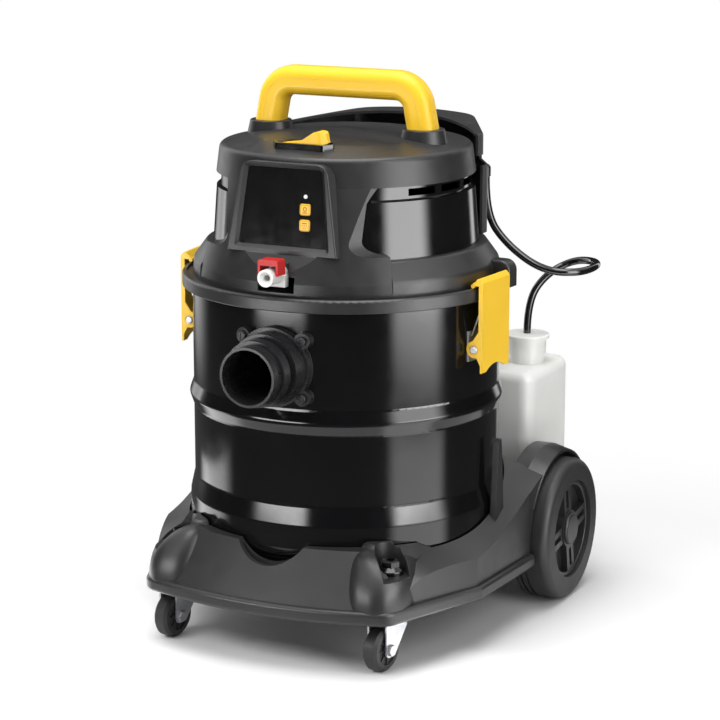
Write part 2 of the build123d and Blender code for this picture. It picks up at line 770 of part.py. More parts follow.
def deck_body(inset, low, high):
    foot_in = inset + RIM_LEDGE
    foot_y = -WELL_R - RIM_FRONT + foot_in
    foot = plan(
        foot_y,
        (LOBE_X + RIM_CORNER - foot_in, foot_y + RIM_BOW),
        (WELL_R + RIM_SIDE - foot_in, RIM_SIDE_Y),
        (FENDER_OUT_X + RIM_REAR - foot_in, ARCH_FRONT_Y),
    )
    head = plan(
        -WELL_R - DECK_FRONT + inset,
        (LOBE_X + DECK_CORNER - inset, -WELL_R + DECK_CORNER_SET + inset),
        (WELL_R - DECK_SIDE_SET - inset, DECK_SIDE_Y),
        (WELL_R - DECK_REAR_SET - inset, ARCH_FRONT_Y),
    )
    return loft([Pos(0, 0, low) * foot, Pos(0, 0, high) * head], ruled=True)


def arm_profile(heights):
    """Side view of the arm from (share of the length, share of the rise) points."""
    front = ARM_START - WELL_R
    rear = AXLE_Y - FENDER_JOIN
    rise = AXLE_Z + sqrt(FENDER_R ** 2 - FENDER_JOIN ** 2) - RIM_TOP_Z
    points = [(front + f * (rear - front), RIM_TOP_Z + h * rise) for f, h in heights]
    foot = RIM_TOP_Z - rise / 4
    rest = Polyline(points[-1], (rear, foot), (front, foot), points[0])
    return Plane.YZ * make_face([Spline(*points), rest])


def arm():
    """Side arm that sweeps up from the lobe into the fender, with a sloping upper face."""
    crest = arm_profile(
        [
            (0, 0),
            (0.078, 0.30),
            (0.188, 0.43),
            (0.347, 0.58),
            (0.517, 0.88),
            (0.591, 0.99),
            (0.669, 1.05),
            (0.74, 1.07),
            (0.832, 1.08),
            (1, 1.09),
        ]
    )
    crease = arm_profile(
        [
            (0, -0.15),
            (0.078, 0.08),
            (0.188, 0.20),
            (0.347, 0.25),
            (0.517, 0.30),
            (0.591, 0.36),
            (0.669, 0.46),
            (0.74, 0.57),
            (0.832, 0.72),
            (1, 0.89),
        ]
    )
    body = loft([Pos(WELL_R - ARM_IN, 0, 0) * crest, Pos(FENDER_OUT_X + ARM_OUT, 0, 0) * crease], ruled=True)
    height = 2 * FENDER_R
    limits = Pos(0, 0, RIM_TOP_Z) * extrude(rim_plan(RIM_LEDGE), height)
    limits += block((0, ARCH_FRONT_Y - 1, RIM_TOP_Z), (FENDER_OUT_X - 1, AXLE_Y, RIM_TOP_Z + height))
    return body & limits


def fender():
    inner = REAR_DECK_HALF - BASE_WALL
    section = make_face(
        Polyline(
            (inner, HUB_BOSS_R),
            (REAR_DECK_HALF, HUB_BOSS_R),
            (REAR_DECK_HALF, ARCH_R),
            (FENDER_OUT_X, ARCH_R),
            (FENDER_OUT_X, ARCH_R + FENDER_LIP),
            (FENDER_CREST_X, FENDER_R),
            (inner, FENDER_R),
            close=True,
        )
    )
    return revolve((AXLE_PLANE * section).rotate(AXLE_AXIS, -72), AXLE_AXIS, 134)


def lobe():
    """Leaning cone over a caster, its head against the drum."""
    keep = 1 - LOBE_LEAN / hypot(LOBE_X, LOBE_Y)
    foot = Pos(LOBE_X, LOBE_Y, RIM_TOP_Z - 1) * Circle(LOBE_FOOT_R)
    head = Pos(LOBE_X * keep, LOBE_Y * keep, LOBE_TOP_Z) * Circle(LOBE_TOP_R)
    cone = loft([foot, head])
    return fillet(cone.edges().group_by(Axis.Z)[-1], LOBE_EDGE_R)


def lug():
    """Upright fin beside the drum under the latch."""
    foot_z = BASE_DECK_Z - LUG_ROOT
    top_z = TANK_BOTTOM_Z + LUG_H
    outline = Polyline(
        (-LUG_FOOT_W / 2, foot_z),
        (LUG_FOOT_W / 2, foot_z),
        (LUG_TOP_W / 2, top_z),
        (-LUG_TOP_W / 2, top_z),
        close=True,
    )
    fin = extrude(Pos(WELL_R + LUG_STAND, 0, 0) * (Plane.YZ * make_face(outline)), LUG_T)
    fin = fillet(fin.edges().group_by(Axis.Z)[-1], LUG_T / 3)
    return Rot(0, 0, LUG_ANGLE) * fin


def rim_band():
    band = Pos(0, 0, RIM_BOTTOM_Z) * extrude(rim_plan(0), BASE_RIM_H)
    ends = band.faces().filter_by(Axis.Z).edges()
    return fillet([e for e in ends if e.center().Y < ARCH_FRONT_Y - 1], BASE_RIM_R)


def base_hollow():
    """Room under the deck, left clear of the well, the axle and the wheel walls."""
    floor_z = TANK_BOTTOM_Z - WELL_FLOOR_T
    join_y = ARCH_FRONT_Y - 5 * BASE_WALL
    top = 2 * BASE_DECK_Z
    hollow = deck_body(BASE_WALL, RIM_TOP_Z - 1, BASE_DECK_Z - BASE_WALL)
    hollow += Pos(0, 0, RIM_BOTTOM_Z - 1) * extrude(rim_plan(RIM_LEDGE + BASE_WALL / 2), BASE_RIM_H)
    under = block(
        (-REAR_DECK_HALF + BASE_WALL, join_y, RIM_BOTTOM_Z - 1),
        (REAR_DECK_HALF - BASE_WALL, REAR_DECK_Y - BASE_WALL, floor_z),
    )
    hollow += fillet(under.edges().filter_by(Axis.Z).group_by(Axis.Y)[-1], REAR_CORNER_R - BASE_WALL)
    hollow -= Pos(0, 0, floor_z + top / 2) * Cylinder(WELL_R + BASE_WALL, top)
    hollow -= block((-REAR_DECK_HALF, 0, floor_z), (REAR_DECK_HALF, REAR_DECK_Y, top))
    hollow -= block((-THROUGH, join_y, floor_z), (THROUGH, AXLE_Y, top))
    hollow -= axle_rod(-REAR_DECK_HALF, REAR_DECK_HALF, 2 * AXLE_R)
    hollow -= both(block((REAR_DECK_HALF - BASE_WALL, join_y, 0), (THROUGH, AXLE_Y, top)))
    return hollow


def make_base():
    base = rim_band()
    base += deck_body(0, RIM_TOP_Z - 1, BASE_DECK_Z)
    rear = block((-REAR_DECK_HALF, 0, RIM_BOTTOM_Z), (REAR_DECK_HALF, REAR_DECK_Y, TANK_BOTTOM_Z + TRAY_LIP))
    base += fillet(rear.edges().filter_by(Axis.Z).group_by(Axis.Y)[-1], REAR_CORNER_R)
    base += both(arm())
    base -= base_hollow()
    base += both(lobe())
    base += both(upright(CASTER_X, CASTER_Y, RIM_BOTTOM_Z, BOLT_SEAT_Z, CASTER_BOSS_R))
    base += both(fender())
    base += both(lug())

    arch = axle_rod(REAR_DECK_HALF, THROUGH, ARCH_R)
    arch += block((REAR_DECK_HALF, AXLE_Y - ARCH_R, 0), (THROUGH, AXLE_Y + ARCH_R, AXLE_Z))
    base -= both(arch)
    base -= Pos(0, 0, TANK_BOTTOM_Z + THROUGH / 2) * Cylinder(WELL_R, THROUGH)
    base -= block(
        (-BOTTLE_HALF - BOTTLE_TRAY_GAP, BOTTLE_FRONT_Y - BOTTLE_TRAY_GAP, TANK_BOTTOM_Z),
        (BOTTLE_HALF + BOTTLE_TRAY_GAP, BOTTLE_REAR_Y + BOTTLE_TRAY_GAP, THROUGH),
    )
    notch_r = (NOTCH_HALF ** 2 + NOTCH_DEPTH ** 2) / (2 * NOTCH_DEPTH)
    notch_z = BASE_DECK_Z - NOTCH_DEPTH + notch_r
    base -= rod((0, -THROUGH, notch_z), (0, 0, notch_z), notch_r)
    base -= axle_rod(-WHEEL_IN_X, WHEEL_IN_X, AXLE_R + RUN_GAP)
    for sign in (-1, 1):
        x = sign * CASTER_X
        base -= upright(x, CASTER_Y, BOLT_SEAT_Z, 2 * LOBE_TOP_Z, BOLT_POCKET_R)
        base -= upright(x, CASTER_Y, BOLT_SEAT_Z - BOLT_L - 1, LOBE_TOP_Z, BOLT_R + SEAT_GAP)
        base -= upright(x, CASTER_Y, 0, RIM_BOTTOM_Z + CASTER_STEM_L + 1, CASTER_STEM_R + SEAT_GAP)
    return base


def make_base_screws():
    seat = BOLT_SEAT_Z + SEAT_GAP
    top = seat + BOLT_H
    bolt = turned(
        (0, seat - BOLT_L, 0),
        (BOLT_R, seat - BOLT_L, 0),
        (BOLT_R, seat, 0),
        (BOLT_FLANGE_R, seat, 0),
        (BOLT_FLANGE_R, seat + BOLT_FLANGE_H / 2, BOLT_FLANGE_H / 4),
        (BOLT_HEX_R - 1, seat + BOLT_FLANGE_H, 0),
        (0, seat + BOLT_FLANGE_H, 0),
    )
    root = seat + BOLT_FLANGE_H / 2
    hexagon = Pos(0, 0, root) * extrude(RegularPolygon(BOLT_HEX_R, 6), top - root)
    bolt += chamfer(hexagon.faces().sort_by(Axis.Z)[-1].edges(), BOLT_HEX_R / 8)
    socket = extrude(RegularPolygon(BOLT_SOCKET_R, 6), 2 * BOLT_SOCKET_DEPTH)
    bolt -= Pos(0, 0, top - BOLT_SOCKET_DEPTH) * socket
    right = Pos(CASTER_X, CASTER_Y, 0) * bolt
    left = Pos(-CASTER_X, CASTER_Y, 0) * bolt
    return Compound([right.solid(), left.solid()])


def make_tyre():
    tyre = on_axle(
        (WHEEL_IN_X, HUB_R + RUN_GAP, 0),
        (WHEEL_IN_X, WHEEL_R, SHOULDER_R / 2),
        (WHEEL_OUT_X, WHEEL_R, SHOULDER_R),
        (WHEEL_OUT_X, HUB_R + RUN_GAP, 0),
    )
    for i in range(TREAD_GROOVES):
        x = WHEEL_IN_X + SHOULDER_R + 3 * TREAD_GROOVE_W * i
        tyre -= on_axle(
            (x, WHEEL_R - TREAD_GROOVE_DEPTH, 0),
            (x + TREAD_GROOVE_W, WHEEL_R - TREAD_GROOVE_DEPTH, 0),
            (x + TREAD_GROOVE_W, WHEEL_R + 1, 0),
            (x, WHEEL_R + 1, 0),
        )
    return tyre


def make_hub():
    out = WHEEL_OUT_X - HUB_INSET
    web_out = WHEEL_OUT_X - HUB_RECESS
    web_in = web_out - HUB_WEB_T
    rim_in = HUB_R - HUB_RIM
    deck_gap = REAR_DECK_HALF + WHEEL_GAP / 5
    hub = on_axle(
        (WHEEL_IN_X + WHEEL_GAP / 5, rim_in, 0),
        (WHEEL_IN_X + WHEEL_GAP / 5, HUB_R, 0),
        (out, HUB_R, HUB_RIM / 4),
        (out, rim_in, HUB_RIM / 4),
        (web_out, rim_in, 0),
        (web_out, HUB_BOSS_R, 0),
        (out, HUB_BOSS_R, 0),
        (out, AXLE_R + RUN_GAP, 0),
        (deck_gap, AXLE_R + RUN_GAP, 0),
        (deck_gap, HUB_BOSS_R, 0),
        (web_in, HUB_BOSS_R, 0),
        (web_in, rim_in, 0),
    )
    for i in range(SPOKES):
        spoke = block(
            (web_out - 1, AXLE_Y - SPOKE_W / 2, AXLE_Z + AXLE_R * 2),
            (out - HUB_RIM / 4, AXLE_Y + SPOKE_W / 2, AXLE_Z + HUB_R - HUB_RIM / 2),
        )
        spoke -= block(
            (web_out + HUB_INSET, AXLE_Y - SPOKE_GROOVE_W / 2, AXLE_Z + HUB_BOSS_R + HUB_INSET),
            (out + 1, AXLE_Y + SPOKE_GROOVE_W / 2, AXLE_Z + rim_in - HUB_INSET),
        )
        hub += spoke.rotate(AXLE_AXIS, 90 - SPOKE_TURN + 360 / SPOKES * i)
    return hub


def make_cap():
    start = WHEEL_OUT_X - HUB_INSET + SEAT_GAP
    cap = axle_rod(start, WHEEL_OUT_X, HUB_BOSS_R - CAP_R_INSET)
    return fillet(cap.edges().group_by(Axis.X)[-1], 0.8 * (WHEEL_OUT_X - start))


def make_rear_axle():
    end = WHEEL_OUT_X - HUB_INSET - SEAT_GAP
    return axle_rod(-end, end, AXLE_R)


def caster_at(shape, sign):
    return Pos(sign * CASTER_X, CASTER_Y, 0) * Rot(0, 0, CASTER_TURN) * shape


def make_caster_stem():
    plate_z = RIM_BOTTOM_Z - CASTER_PLATE_T
    collar_z = YOKE_BOTTOM_Z - CASTER_COLLAR_T
    stem = upright(0, 0, plate_z, RIM_BOTTOM_Z - SEAT_GAP, CASTER_PLATE_R)
    stem += upright(0, 0, collar_z, RIM_BOTTOM_Z + CASTER_STEM_L, CASTER_STEM_R)
    stem += upright(0, 0, collar_z, YOKE_BOTTOM_Z - SEAT_GAP, CASTER_STEM_R + YOKE_T / 2)
    return stem


def make_caster_fork():
    half = CASTER_HALF_W + CASTER_SIDE_GAP
    y = -CASTER_TRAIL
    back = 0.75 * YOKE_R
    foot = CASTER_R - FORK_ARM_HALF
    outline = FilletPolyline(
        (back, YOKE_TOP_Z),
        (y - FORK_ARM_HALF, YOKE_TOP_Z),
        (y - FORK_ARM_HALF, foot),
        (y + FORK_ARM_HALF, foot),
        (back, YOKE_TOP_Z - 3 * YOKE_T),
        radius=[0, FORK_ARM_HALF / 2, 0.75 * FORK_ARM_HALF, 0.75 * FORK_ARM_HALF, YOKE_T],
        close=True,
    )
    fork = both(extrude(Pos(half, 0, 0) * (Plane.YZ * make_face(outline)), FORK_T))
    fork += upright(0, 0, YOKE_BOTTOM_Z, YOKE_TOP_Z, YOKE_R)
    fork += block((-half - FORK_T, y - FORK_ARM_HALF / 2, YOKE_BOTTOM_Z), (half + FORK_T, back, YOKE_TOP_Z))
    fork -= upright(0, 0, CASTER_R, 2 * RIM_BOTTOM_Z, CASTER_STEM_R + RUN_GAP)
    fork -= rod((-2 * half, y, CASTER_R), (2 * half, y, CASTER_R), CASTER_AXLE_R + RUN_GAP)
    return fork


def make_caster_wheel():
    w = CASTER_HALF_W
    dish = w - CASTER_R / 12
    hub_r = 0.36 * CASTER_R
    rim_r = 0.68 * CASTER_R
    edge = CASTER_R / 8
    right = [
        (w - edge, CASTER_R),
        (w, CASTER_R - edge),
        (w, rim_r),
        (dish, rim_r),
        (dish, hub_r),
        (w, hub_r),
        (w, CASTER_AXLE_R + RUN_GAP),
    ]
    left = [(-x, r) for x, r in reversed(right)]
    wheel = revolve(CASTER_PLANE * make_face(Polyline(*right, *left, close=True)), CASTER_AXIS)
    rib_half = CASTER_R / 25
    for i in range(CASTER_RIBS):
        rib = block(
            (-w + rib_half / 2, -CASTER_TRAIL - rib_half, CASTER_R + hub_r - rib_half),
            (w - rib_half / 2, -CASTER_TRAIL + rib_half, CASTER_R + rim_r + rib_half),
        )
        wheel += rib.rotate(CASTER_AXIS, 360 / CASTER_RIBS * i)
    return wheel


def make_caster_axle():
    y = -CASTER_TRAIL
    head_x = CASTER_HALF_W + CASTER_SIDE_GAP + FORK_T + SEAT_GAP
    axle = rod((-head_x, y, CASTER_R), (head_x, y, CASTER_R), CASTER_AXLE_R)
    plane = Plane(origin=(head_x, y, CASTER_R), x_dir=(0, 1, 0), z_dir=(1, 0, 0))
    return axle + both(extrude(plane * RegularPolygon(1.6 * CASTER_AXLE_R, 6), YOKE_T))


def make_lid():
    spigot_out = TANK_R - TANK_WALL - LID_SPIGOT_GAP
    spigot_in = spigot_out - LID_SPIGOT_T
    skirt_in = FLANGE_R - FLANGE_WALL
    wall_in = LID_STEP_R - LID_WALL
    seat_r = WAIST_FOOT_R + SLIDE_GAP
    ledge_in = WAIST_FOOT_R - LEDGE_W
    ledge_under = LEDGE_Z - COVER_WALL
    lid = turned(
        (LID_EYE_R, LID_UNDER_Z, 0),
        (spigot_in, LID_UNDER_Z, 0),
        (spigot_in, FLANGE_BOTTOM_Z, 0),
        (spigot_out, FLANGE_BOTTOM_Z, 0),
        (spigot_out, LID_SEAT_Z, 0),
        (skirt_in, LID_SEAT_Z, 0),
        (skirt_in, FLANGE_BOTTOM_Z, 0),
        (FLANGE_R, FLANGE_BOTTOM_Z, FLANGE_EDGE_R),
        (FLANGE_R, FLANGE_TOP_Z, FLANGE_ROUND_R),
        (FLANGE_R - FLANGE_LIP, FLANGE_TOP_Z, 0),
        (FLANGE_R - FLANGE_LIP, GROOVE_Z, 0),
        (LID_STEP_R, GROOVE_Z, 0),
        (LID_STEP_R - SLIDE_GAP, LID_KNEE_Z, LID_CORNER_R),
        (LID_TOP_R, LID_TOP_Z, LID_CROWN_R),
        (seat_r, LID_TOP_Z, 0),
        (seat_r, LEDGE_Z, 0),
        (ledge_in, LEDGE_Z, 0),
        (ledge_in, ledge_under, 0),
        (LID_TOP_R - SLIDE_GAP, ledge_under, 0),
        (wall_in, LID_KNEE_Z - LID_WALL, LID_RISE_R),
        (wall_in, LID_FLOOR_Z, 0),
        (LID_EYE_R, LID_FLOOR_Z, 0),
    )
    skirt = sector(SEAM_ANGLE + SEAT_GAP, LID_STEP_Z, DOME_Z)
    skirt -= Pos(0, 0, LID_STEP_Z) * Cylinder(WAIST_FOOT_R + COVER_GAP - SLIDE_GAP, THROUGH)
    lid -= skirt
    return lid + both(Rot(0, 0, LATCH_ANGLE) * guard())


def guard():
    """Rounded boss on the lid edge behind a latch."""
    low = FLANGE_TOP_Z - GUARD_DROP
    high = FLANGE_TOP_Z + GUARD_RISE
    inner = LID_STEP_R - GUARD_IN
    outer = FLANGE_R + GUARD_OUT
    side = FilletPolyline(
        (inner, low), (outer, low), (outer, high), (inner, high), radius=[0, 0, GUARD_R, 0], close=True
    )
    boss = extrude(Pos(0, GUARD_Y, 0) * (Plane.XZ * make_face(side)), GUARD_W / 2, both=True)
    edges = [e for e in boss.edges() if e.center().X > outer - GUARD_R and e.center().Z > low + 1]
    boss = fillet([e for e in edges if abs(e.center().Y - GUARD_Y) > 1], GUARD_EDGE_R)
    boss -= Pos(0, 0, LID_STEP_Z) * Cylinder(LID_STEP_R - LID_WALL / 2, THROUGH)
    return boss - Pos(0, 0, LID_SEAT_Z + 1 - THROUGH / 2) * Cylinder(FLANGE_R - FLANGE_WALL / 2, THROUGH)


def make_lid_gasket():
    low = TANK_TOP_Z + SEAT_GAP
    high = LID_SEAT_Z - SEAT_GAP
    inner = TANK_R - LID_GASKET_IN
    outer = inner + LID_GASKET_W
    return sharp((inner, low), (outer, low), (outer, high), (inner, high))


def make_waist():
    low = LEDGE_Z + SEAT_GAP
    high = CAP_BOTTOM_Z - SLIDE_GAP
    slot_low = WAIST_TOP_Z + NECK_CHAMFER
    drum = sharp(
        (WAIST_FOOT_R, low),
        (WAIST_FOOT_R, LID_TOP_Z),
        (WAIST_TOP_R, WAIST_TOP_Z),
        (NECK_R, slot_low),
        (NECK_R, high),
        (NECK_R - WAIST_WALL, high),
        (NECK_R - WAIST_WALL, WAIST_TOP_Z),
        (WAIST_TOP_R - WAIST_WALL, WAIST_TOP_Z - NECK_CHAMFER),
        (WAIST_FOOT_R - WAIST_WALL, low),
    )
    drum -= sector(WAIST_FRONT_ANGLE, LID_STEP_Z, DOME_Z)
    for i in range(NECK_SLOTS):
        slot = Pos(NECK_R, 0, (slot_low + high) / 2) * Box(10 * WAIST_WALL, NECK_SLOT_W, NECK_SLOT_H)
        turn = NECK_SLOT_START + NECK_SLOT_PITCH * i - 90
        drum -= both(Rot(0, 0, turn) * slot)
    return drum


def cover_outline(inset):
    """Cap and dome of the top cover, drawn in by a wall thickness."""
    return [
        (0, CAP_BOTTOM_Z, 0),
        (CAP_R - inset, CAP_BOTTOM_Z, 0),
        (CAP_EDGE_R - inset, CAP_EDGE_Z - inset, CAP_ROUND_R),
        (CAP_EDGE_R - DOME_EDGE_W, CAP_EDGE_Z + DOME_EDGE_RISE - inset, DOME_ROUND_R),
        (0, DOME_Z - inset, 0),
    ]


def nose_outline(foot_half, top_half, foot, top, foot_r, top_r):
    points = [(-foot_half, foot), (foot_half, foot), (top_half, top), (-top_half, top)]
    return make_face(FilletPolyline(*points, radius=[foot_r, foot_r, top_r, top_r], close=True))


def nose_face():
    return PANEL_PLANE * nose_outline(
        NOSE_FOOT_HALF, NOSE_TOP_HALF, 0, NOSE_LENGTH, NOSE_CORNER_R, NOSE_TOP_R
    )


def apron_cone(inset, foot):
    """Front flank of the cover down to the lid step, drawn in by a wall thickness."""
    return sharp(
        (0, CAP_BOTTOM_Z),
        (CAP_R - inset, CAP_BOTTOM_Z),
        (APRON_FOOT_R - inset, LID_STEP_Z + APRON_KNEE),
        (APRON_FOOT_R - inset + 1, foot),
        (0, foot),
    )


def chin():
    """Space under the nose, cut back along a slope."""
    run = CHIN_DROP / tan(radians(CHIN_SLOPE))
    lift = NOSE_EDGE_R * 2
    front = NOSE_FOOT_Y - 2 * run
    outline = Polyline(
        (NOSE_FOOT_Y, NOSE_FOOT_Z),
        (NOSE_FOOT_Y - run, NOSE_FOOT_Z - CHIN_DROP),
        (front, NOSE_FOOT_Z - CHIN_DROP),
        (front, NOSE_FOOT_Z + lift),
        (NOSE_FOOT_Y + lift * tan(radians(NOSE_TILT)), NOSE_FOOT_Z + lift),
        close=True,
    )
    return extrude(Plane.YZ * make_face(outline), NOSE_FOOT_HALF, both=True)


def window():
    """Side opening that shows the waist drum, with its front edge canted to the side."""
    along = (cos(radians(WINDOW_CANT)), sin(radians(WINDOW_CANT)))
    start = WINDOW_START - WAIST_FOOT_R
    plane = Plane(
        origin=(start * along[0], start * along[1], 0),
        x_dir=(along[1], -along[0], 0),
        z_dir=(-along[0], -along[1], 0),
    )
    near = WAIST_FOOT_R - WINDOW_IN
    outline = FilletPolyline(
        (near, NOSE_FOOT_Z),
        (THROUGH, NOSE_FOOT_Z),
        (THROUGH, CAP_BOTTOM_Z),
        (near, CAP_BOTTOM_Z),
        radius=[WINDOW_CORNER_R, 0, 0, 0],
        close=True,
    )
    return extrude(plane * make_face(outline), -THROUGH)


def make_top_cover():
    foot = LID_STEP_Z + SEAT_GAP
    cover = turned(*cover_outline(0))
    cover += apron_cone(0, foot) & sector(SEAM_ANGLE, foot, CAP_BOTTOM_Z)
    nose = extrude(nose_face(), -NOSE_DEPTH)
    cover += fillet(nose.faces().sort_by(Axis.Y)[0].edges(), NOSE_EDGE_R)
    cover -= extrude(nose_face(), NOSE_DEPTH)
    cover -= chin()

    cover -= turned(*cover_outline(COVER_WALL))
    cover -= sharp(
        (0, CAP_BOTTOM_Z),
        (CAP_R - COVER_WALL, CAP_BOTTOM_Z),
        (WAIST_TOP_R + COVER_GAP, WAIST_TOP_Z),
        (COVER_IN_R, NOSE_FOOT_Z),
        (COVER_IN_R, foot),
        (0, foot),
    )
    core_half = NOSE_FOOT_HALF - NOSE_CORE
    flank = apron_cone(COVER_WALL, foot)
    flank -= block((-core_half, -THROUGH, COUPLING_Z - RECESS_RISE), (core_half, 0, DOME_Z))
    flank -= block((-THROUGH, -THROUGH, LID_TOP_Z + LEDGE_DEPTH), (THROUGH, 0, DOME_Z))
    cover -= flank
    cover -= both(window())

    cover -= extrude(PANEL_PLANE * panel_outline(0), -PANEL_DEPTH)
    cover -= loft(
        [
            PANEL_PLANE.offset(SEAT_GAP) * panel_outline(-PANEL_BEVEL),
            PANEL_PLANE.offset(PANEL_T - PANEL_DEPTH) * panel_outline(0),
        ]
    )
    for z in (BUTTON_LOW_Z, BUTTON_HIGH_Z):
        low = -PANEL_DEPTH - BUTTON_ROOT - BUTTON_TRAVEL_ROOM
        cover -= panel_peg(z, BUTTON_SIZE + BUTTON_TRAVEL_ROOM, low, 0)
    cover -= Pos(0, ROCKER_Y, BEZEL_BOTTOM_Z - BEZEL_H / 3) * extrude(boat(SEAT_GAP), 4 * BEZEL_H)
    clip_room = CLIP_HALF_W + RECESS_GAP
    cover -= block((-RECESS_HALF, -THROUGH, 0), (RECESS_HALF, COUPLING_BACK_Y, COUPLING_Z + RECESS_RISE))
    cover -= block((-clip_room, -THROUGH, 0), (clip_room, COUPLING_BACK_Y, CLIP_TOP_Z + RECESS_RISE))

    root_z = DOME_Z - SOCKET_ROOT
    stand = (Align.CENTER, Align.CENTER, Align.MIN)
    socket = Cone(SOCKET_FOOT_R, SOCKET_TOP_R, SOCKET_TOP_Z - root_z, align=stand)
    socket = fillet(socket.edges().group_by(Axis.Z)[-1], SOCKET_RISE / 2)
    cover += both(Pos(HANDLE_FOOT_X - SOCKET_RISE / 2, 0, root_z) * socket)
    return cover - handle_sweep(handle_section(SLIDE_GAP))


def panel_outline(gap):
    return nose_outline(
        PANEL_FOOT_HALF - gap,
        PANEL_TOP_HALF - gap,
        PANEL_FOOT + gap,
        NOSE_LENGTH - PANEL_HEAD - gap,
        PANEL_CORNER_R,
        PANEL_CORNER_R,
    )


def panel_point(z):
    """Position along the panel face for a height on the object."""
    return (z - NOSE_FOOT_Z) / cos(radians(NOSE_TILT))


def panel_peg(z, size, low, high):
    face = Pos(BUTTON_X, panel_point(z), 0) * RectangleRounded(size, size, BUTTON_CORNER_R)
    return extrude(PANEL_PLANE.offset(low) * face, high - low)


def make_panel():
    back = PANEL_PLANE.offset(SEAT_GAP - PANEL_DEPTH)
    panel = extrude(back * panel_outline(SEAT_GAP), PANEL_T - 2 * SEAT_GAP)
    for z in (BUTTON_LOW_Z, BUTTON_HIGH_Z):
        panel -= panel_peg(z, BUTTON_SIZE + 2 * SLIDE_GAP, -2 * PANEL_DEPTH, PANEL_DEPTH)
    return panel - led_pin(LED_R + SEAT_GAP, -2 * PANEL_DEPTH, PANEL_DEPTH)


def led_pin(radius, low, high):
    face = Pos(BUTTON_X, panel_point(LED_Z), 0) * Circle(radius)
    return extrude(PANEL_PLANE.offset(low) * face, high - low)


def make_led():
    return led_pin(LED_R, SEAT_GAP - PANEL_DEPTH, PANEL_T - PANEL_DEPTH + LED_PROUD)


def make_button(z):
    button = panel_peg(z, BUTTON_SIZE, -PANEL_DEPTH - BUTTON_ROOT, PANEL_T - PANEL_DEPTH + BUTTON_PROUD)
    return fillet(button.faces().sort_by(Axis.Y)[0].edges(), BUTTON_PROUD / 2)


def boat(gap):
    """Outline of the switch bezel, pointed at both ends."""
    half_l = BEZEL_HALF_L + gap
    half_w = BEZEL_HALF_W + gap
    knee = half_l - BEZEL_POINT
    points = [(-half_l, 0), (-knee, -half_w), (knee, -half_w), (half_l, 0), (knee, half_w), (-knee, half_w)]
    tip = BEZEL_TIP_R
    turn = BEZEL_SHOULDER_R
    return make_face(FilletPolyline(*points, radius=[tip, turn, turn, tip, turn, turn], close=True))


def make_bezel():
    bezel = Pos(0, ROCKER_Y, BEZEL_BOTTOM_Z) * extrude(boat(0), BEZEL_H)
    bezel = fillet(bezel.faces().sort_by(Axis.Z)[-1].edges(), BEZEL_EDGE_R)
    bezel -= Pos(0, ROCKER_Y, BEZEL_BOTTOM_Z + BEZEL_FLOOR) * extrude(boat(-BEZEL_WALL), 2 * BEZEL_H)
    return bezel - rocker_bar(ROCKER_PIN_HALF + ROCKER_GAP, ROCKER_PIN_R + RUN_GAP)


def rocker_bar(half, radius):
    return rod((0, ROCKER_Y - half, ROCKER_PIVOT_Z), (0, ROCKER_Y + half, ROCKER_PIVOT_Z), radius)


def make_rocker():
    outline = FilletPolyline(
        (-ROCKER_HALF_L, 0),
        (-ROCKER_HALF_L, ROCKER_LOW),
        (0, ROCKER_LOW),
        (0.62 * ROCKER_HALF_L, ROCKER_HIGH),
        (0.94 * ROCKER_HALF_L, 0.85 * ROCKER_HIGH),
        (ROCKER_HALF_L, 0),
        (0, -ROCKER_KEEL),
        radius=[1, ROCKER_LOW / 3, ROCKER_LOW, ROCKER_LOW, ROCKER_LOW / 2, 1, ROCKER_KEEL / 2],
        close=True,
    )
    body = extrude(Plane.XZ * make_face(outline), BEZEL_HALF_W, both=True)
    body &= Pos(0, 0, -2 * ROCKER_KEEL) * extrude(boat(-BEZEL_WALL - ROCKER_GAP), 4 * ROCKER_HIGH)
    body = Pos(0, ROCKER_Y, ROCKER_PIVOT_Z) * Rot(0, -ROCKER_TILT, 0) * body
    return body + rocker_bar(ROCKER_PIN_HALF, ROCKER_PIN_R)


def handle_section(gap):
    return RectangleRounded(HANDLE_DEPTH + 2 * gap, HANDLE_W + 2 * gap, HANDLE_EDGE_R)


def handle_sweep(section):
    path = FilletPolyline(
        (-HANDLE_FOOT_X, 0, HANDLE_FOOT_Z),
        (-HANDLE_SHOULDER_X, 0, HANDLE_BAR_Z),
        (HANDLE_SHOULDER_X, 0, HANDLE_BAR_Z),
        (HANDLE_FOOT_X, 0, HANDLE_FOOT_Z),
        radius=HANDLE_BEND_R,
    )
    start = Plane(origin=path @ 0, x_dir=(0, 1, 0), z_dir=path % 0)
    return sweep(start * section, path=path)


def make_handle(outer):
    wide = 4 * HANDLE_W
    upper = Pos(0, HANDLE_SEAM + (SEAT_GAP + wide) / 2) * Rectangle(wide, wide)
    lower = Pos(0, HANDLE_SEAM - (SEAT_GAP + wide) / 2) * Rectangle(wide, wide)
    return handle_sweep(handle_section(0) & (upper if outer else lower))


def housing_plan(inset, half):
    rear_half = HOUSING_REAR_HALF - inset
    rear_y = HOUSING_REAR_Y - inset
    corner = HOUSING_CORNER_R - inset
    points = [
        (-half + inset, 0),
        (-half + inset, HOUSING_FRONT_Y),
        (-rear_half, rear_y),
        (rear_half, rear_y),
        (half - inset, HOUSING_FRONT_Y),
        (half - inset, 0),
    ]
    radii = [0, HOUSING_SIDE_R, corner, corner, HOUSING_SIDE_R, 0]
    return make_face(FilletPolyline(*points, radius=radii, close=True))


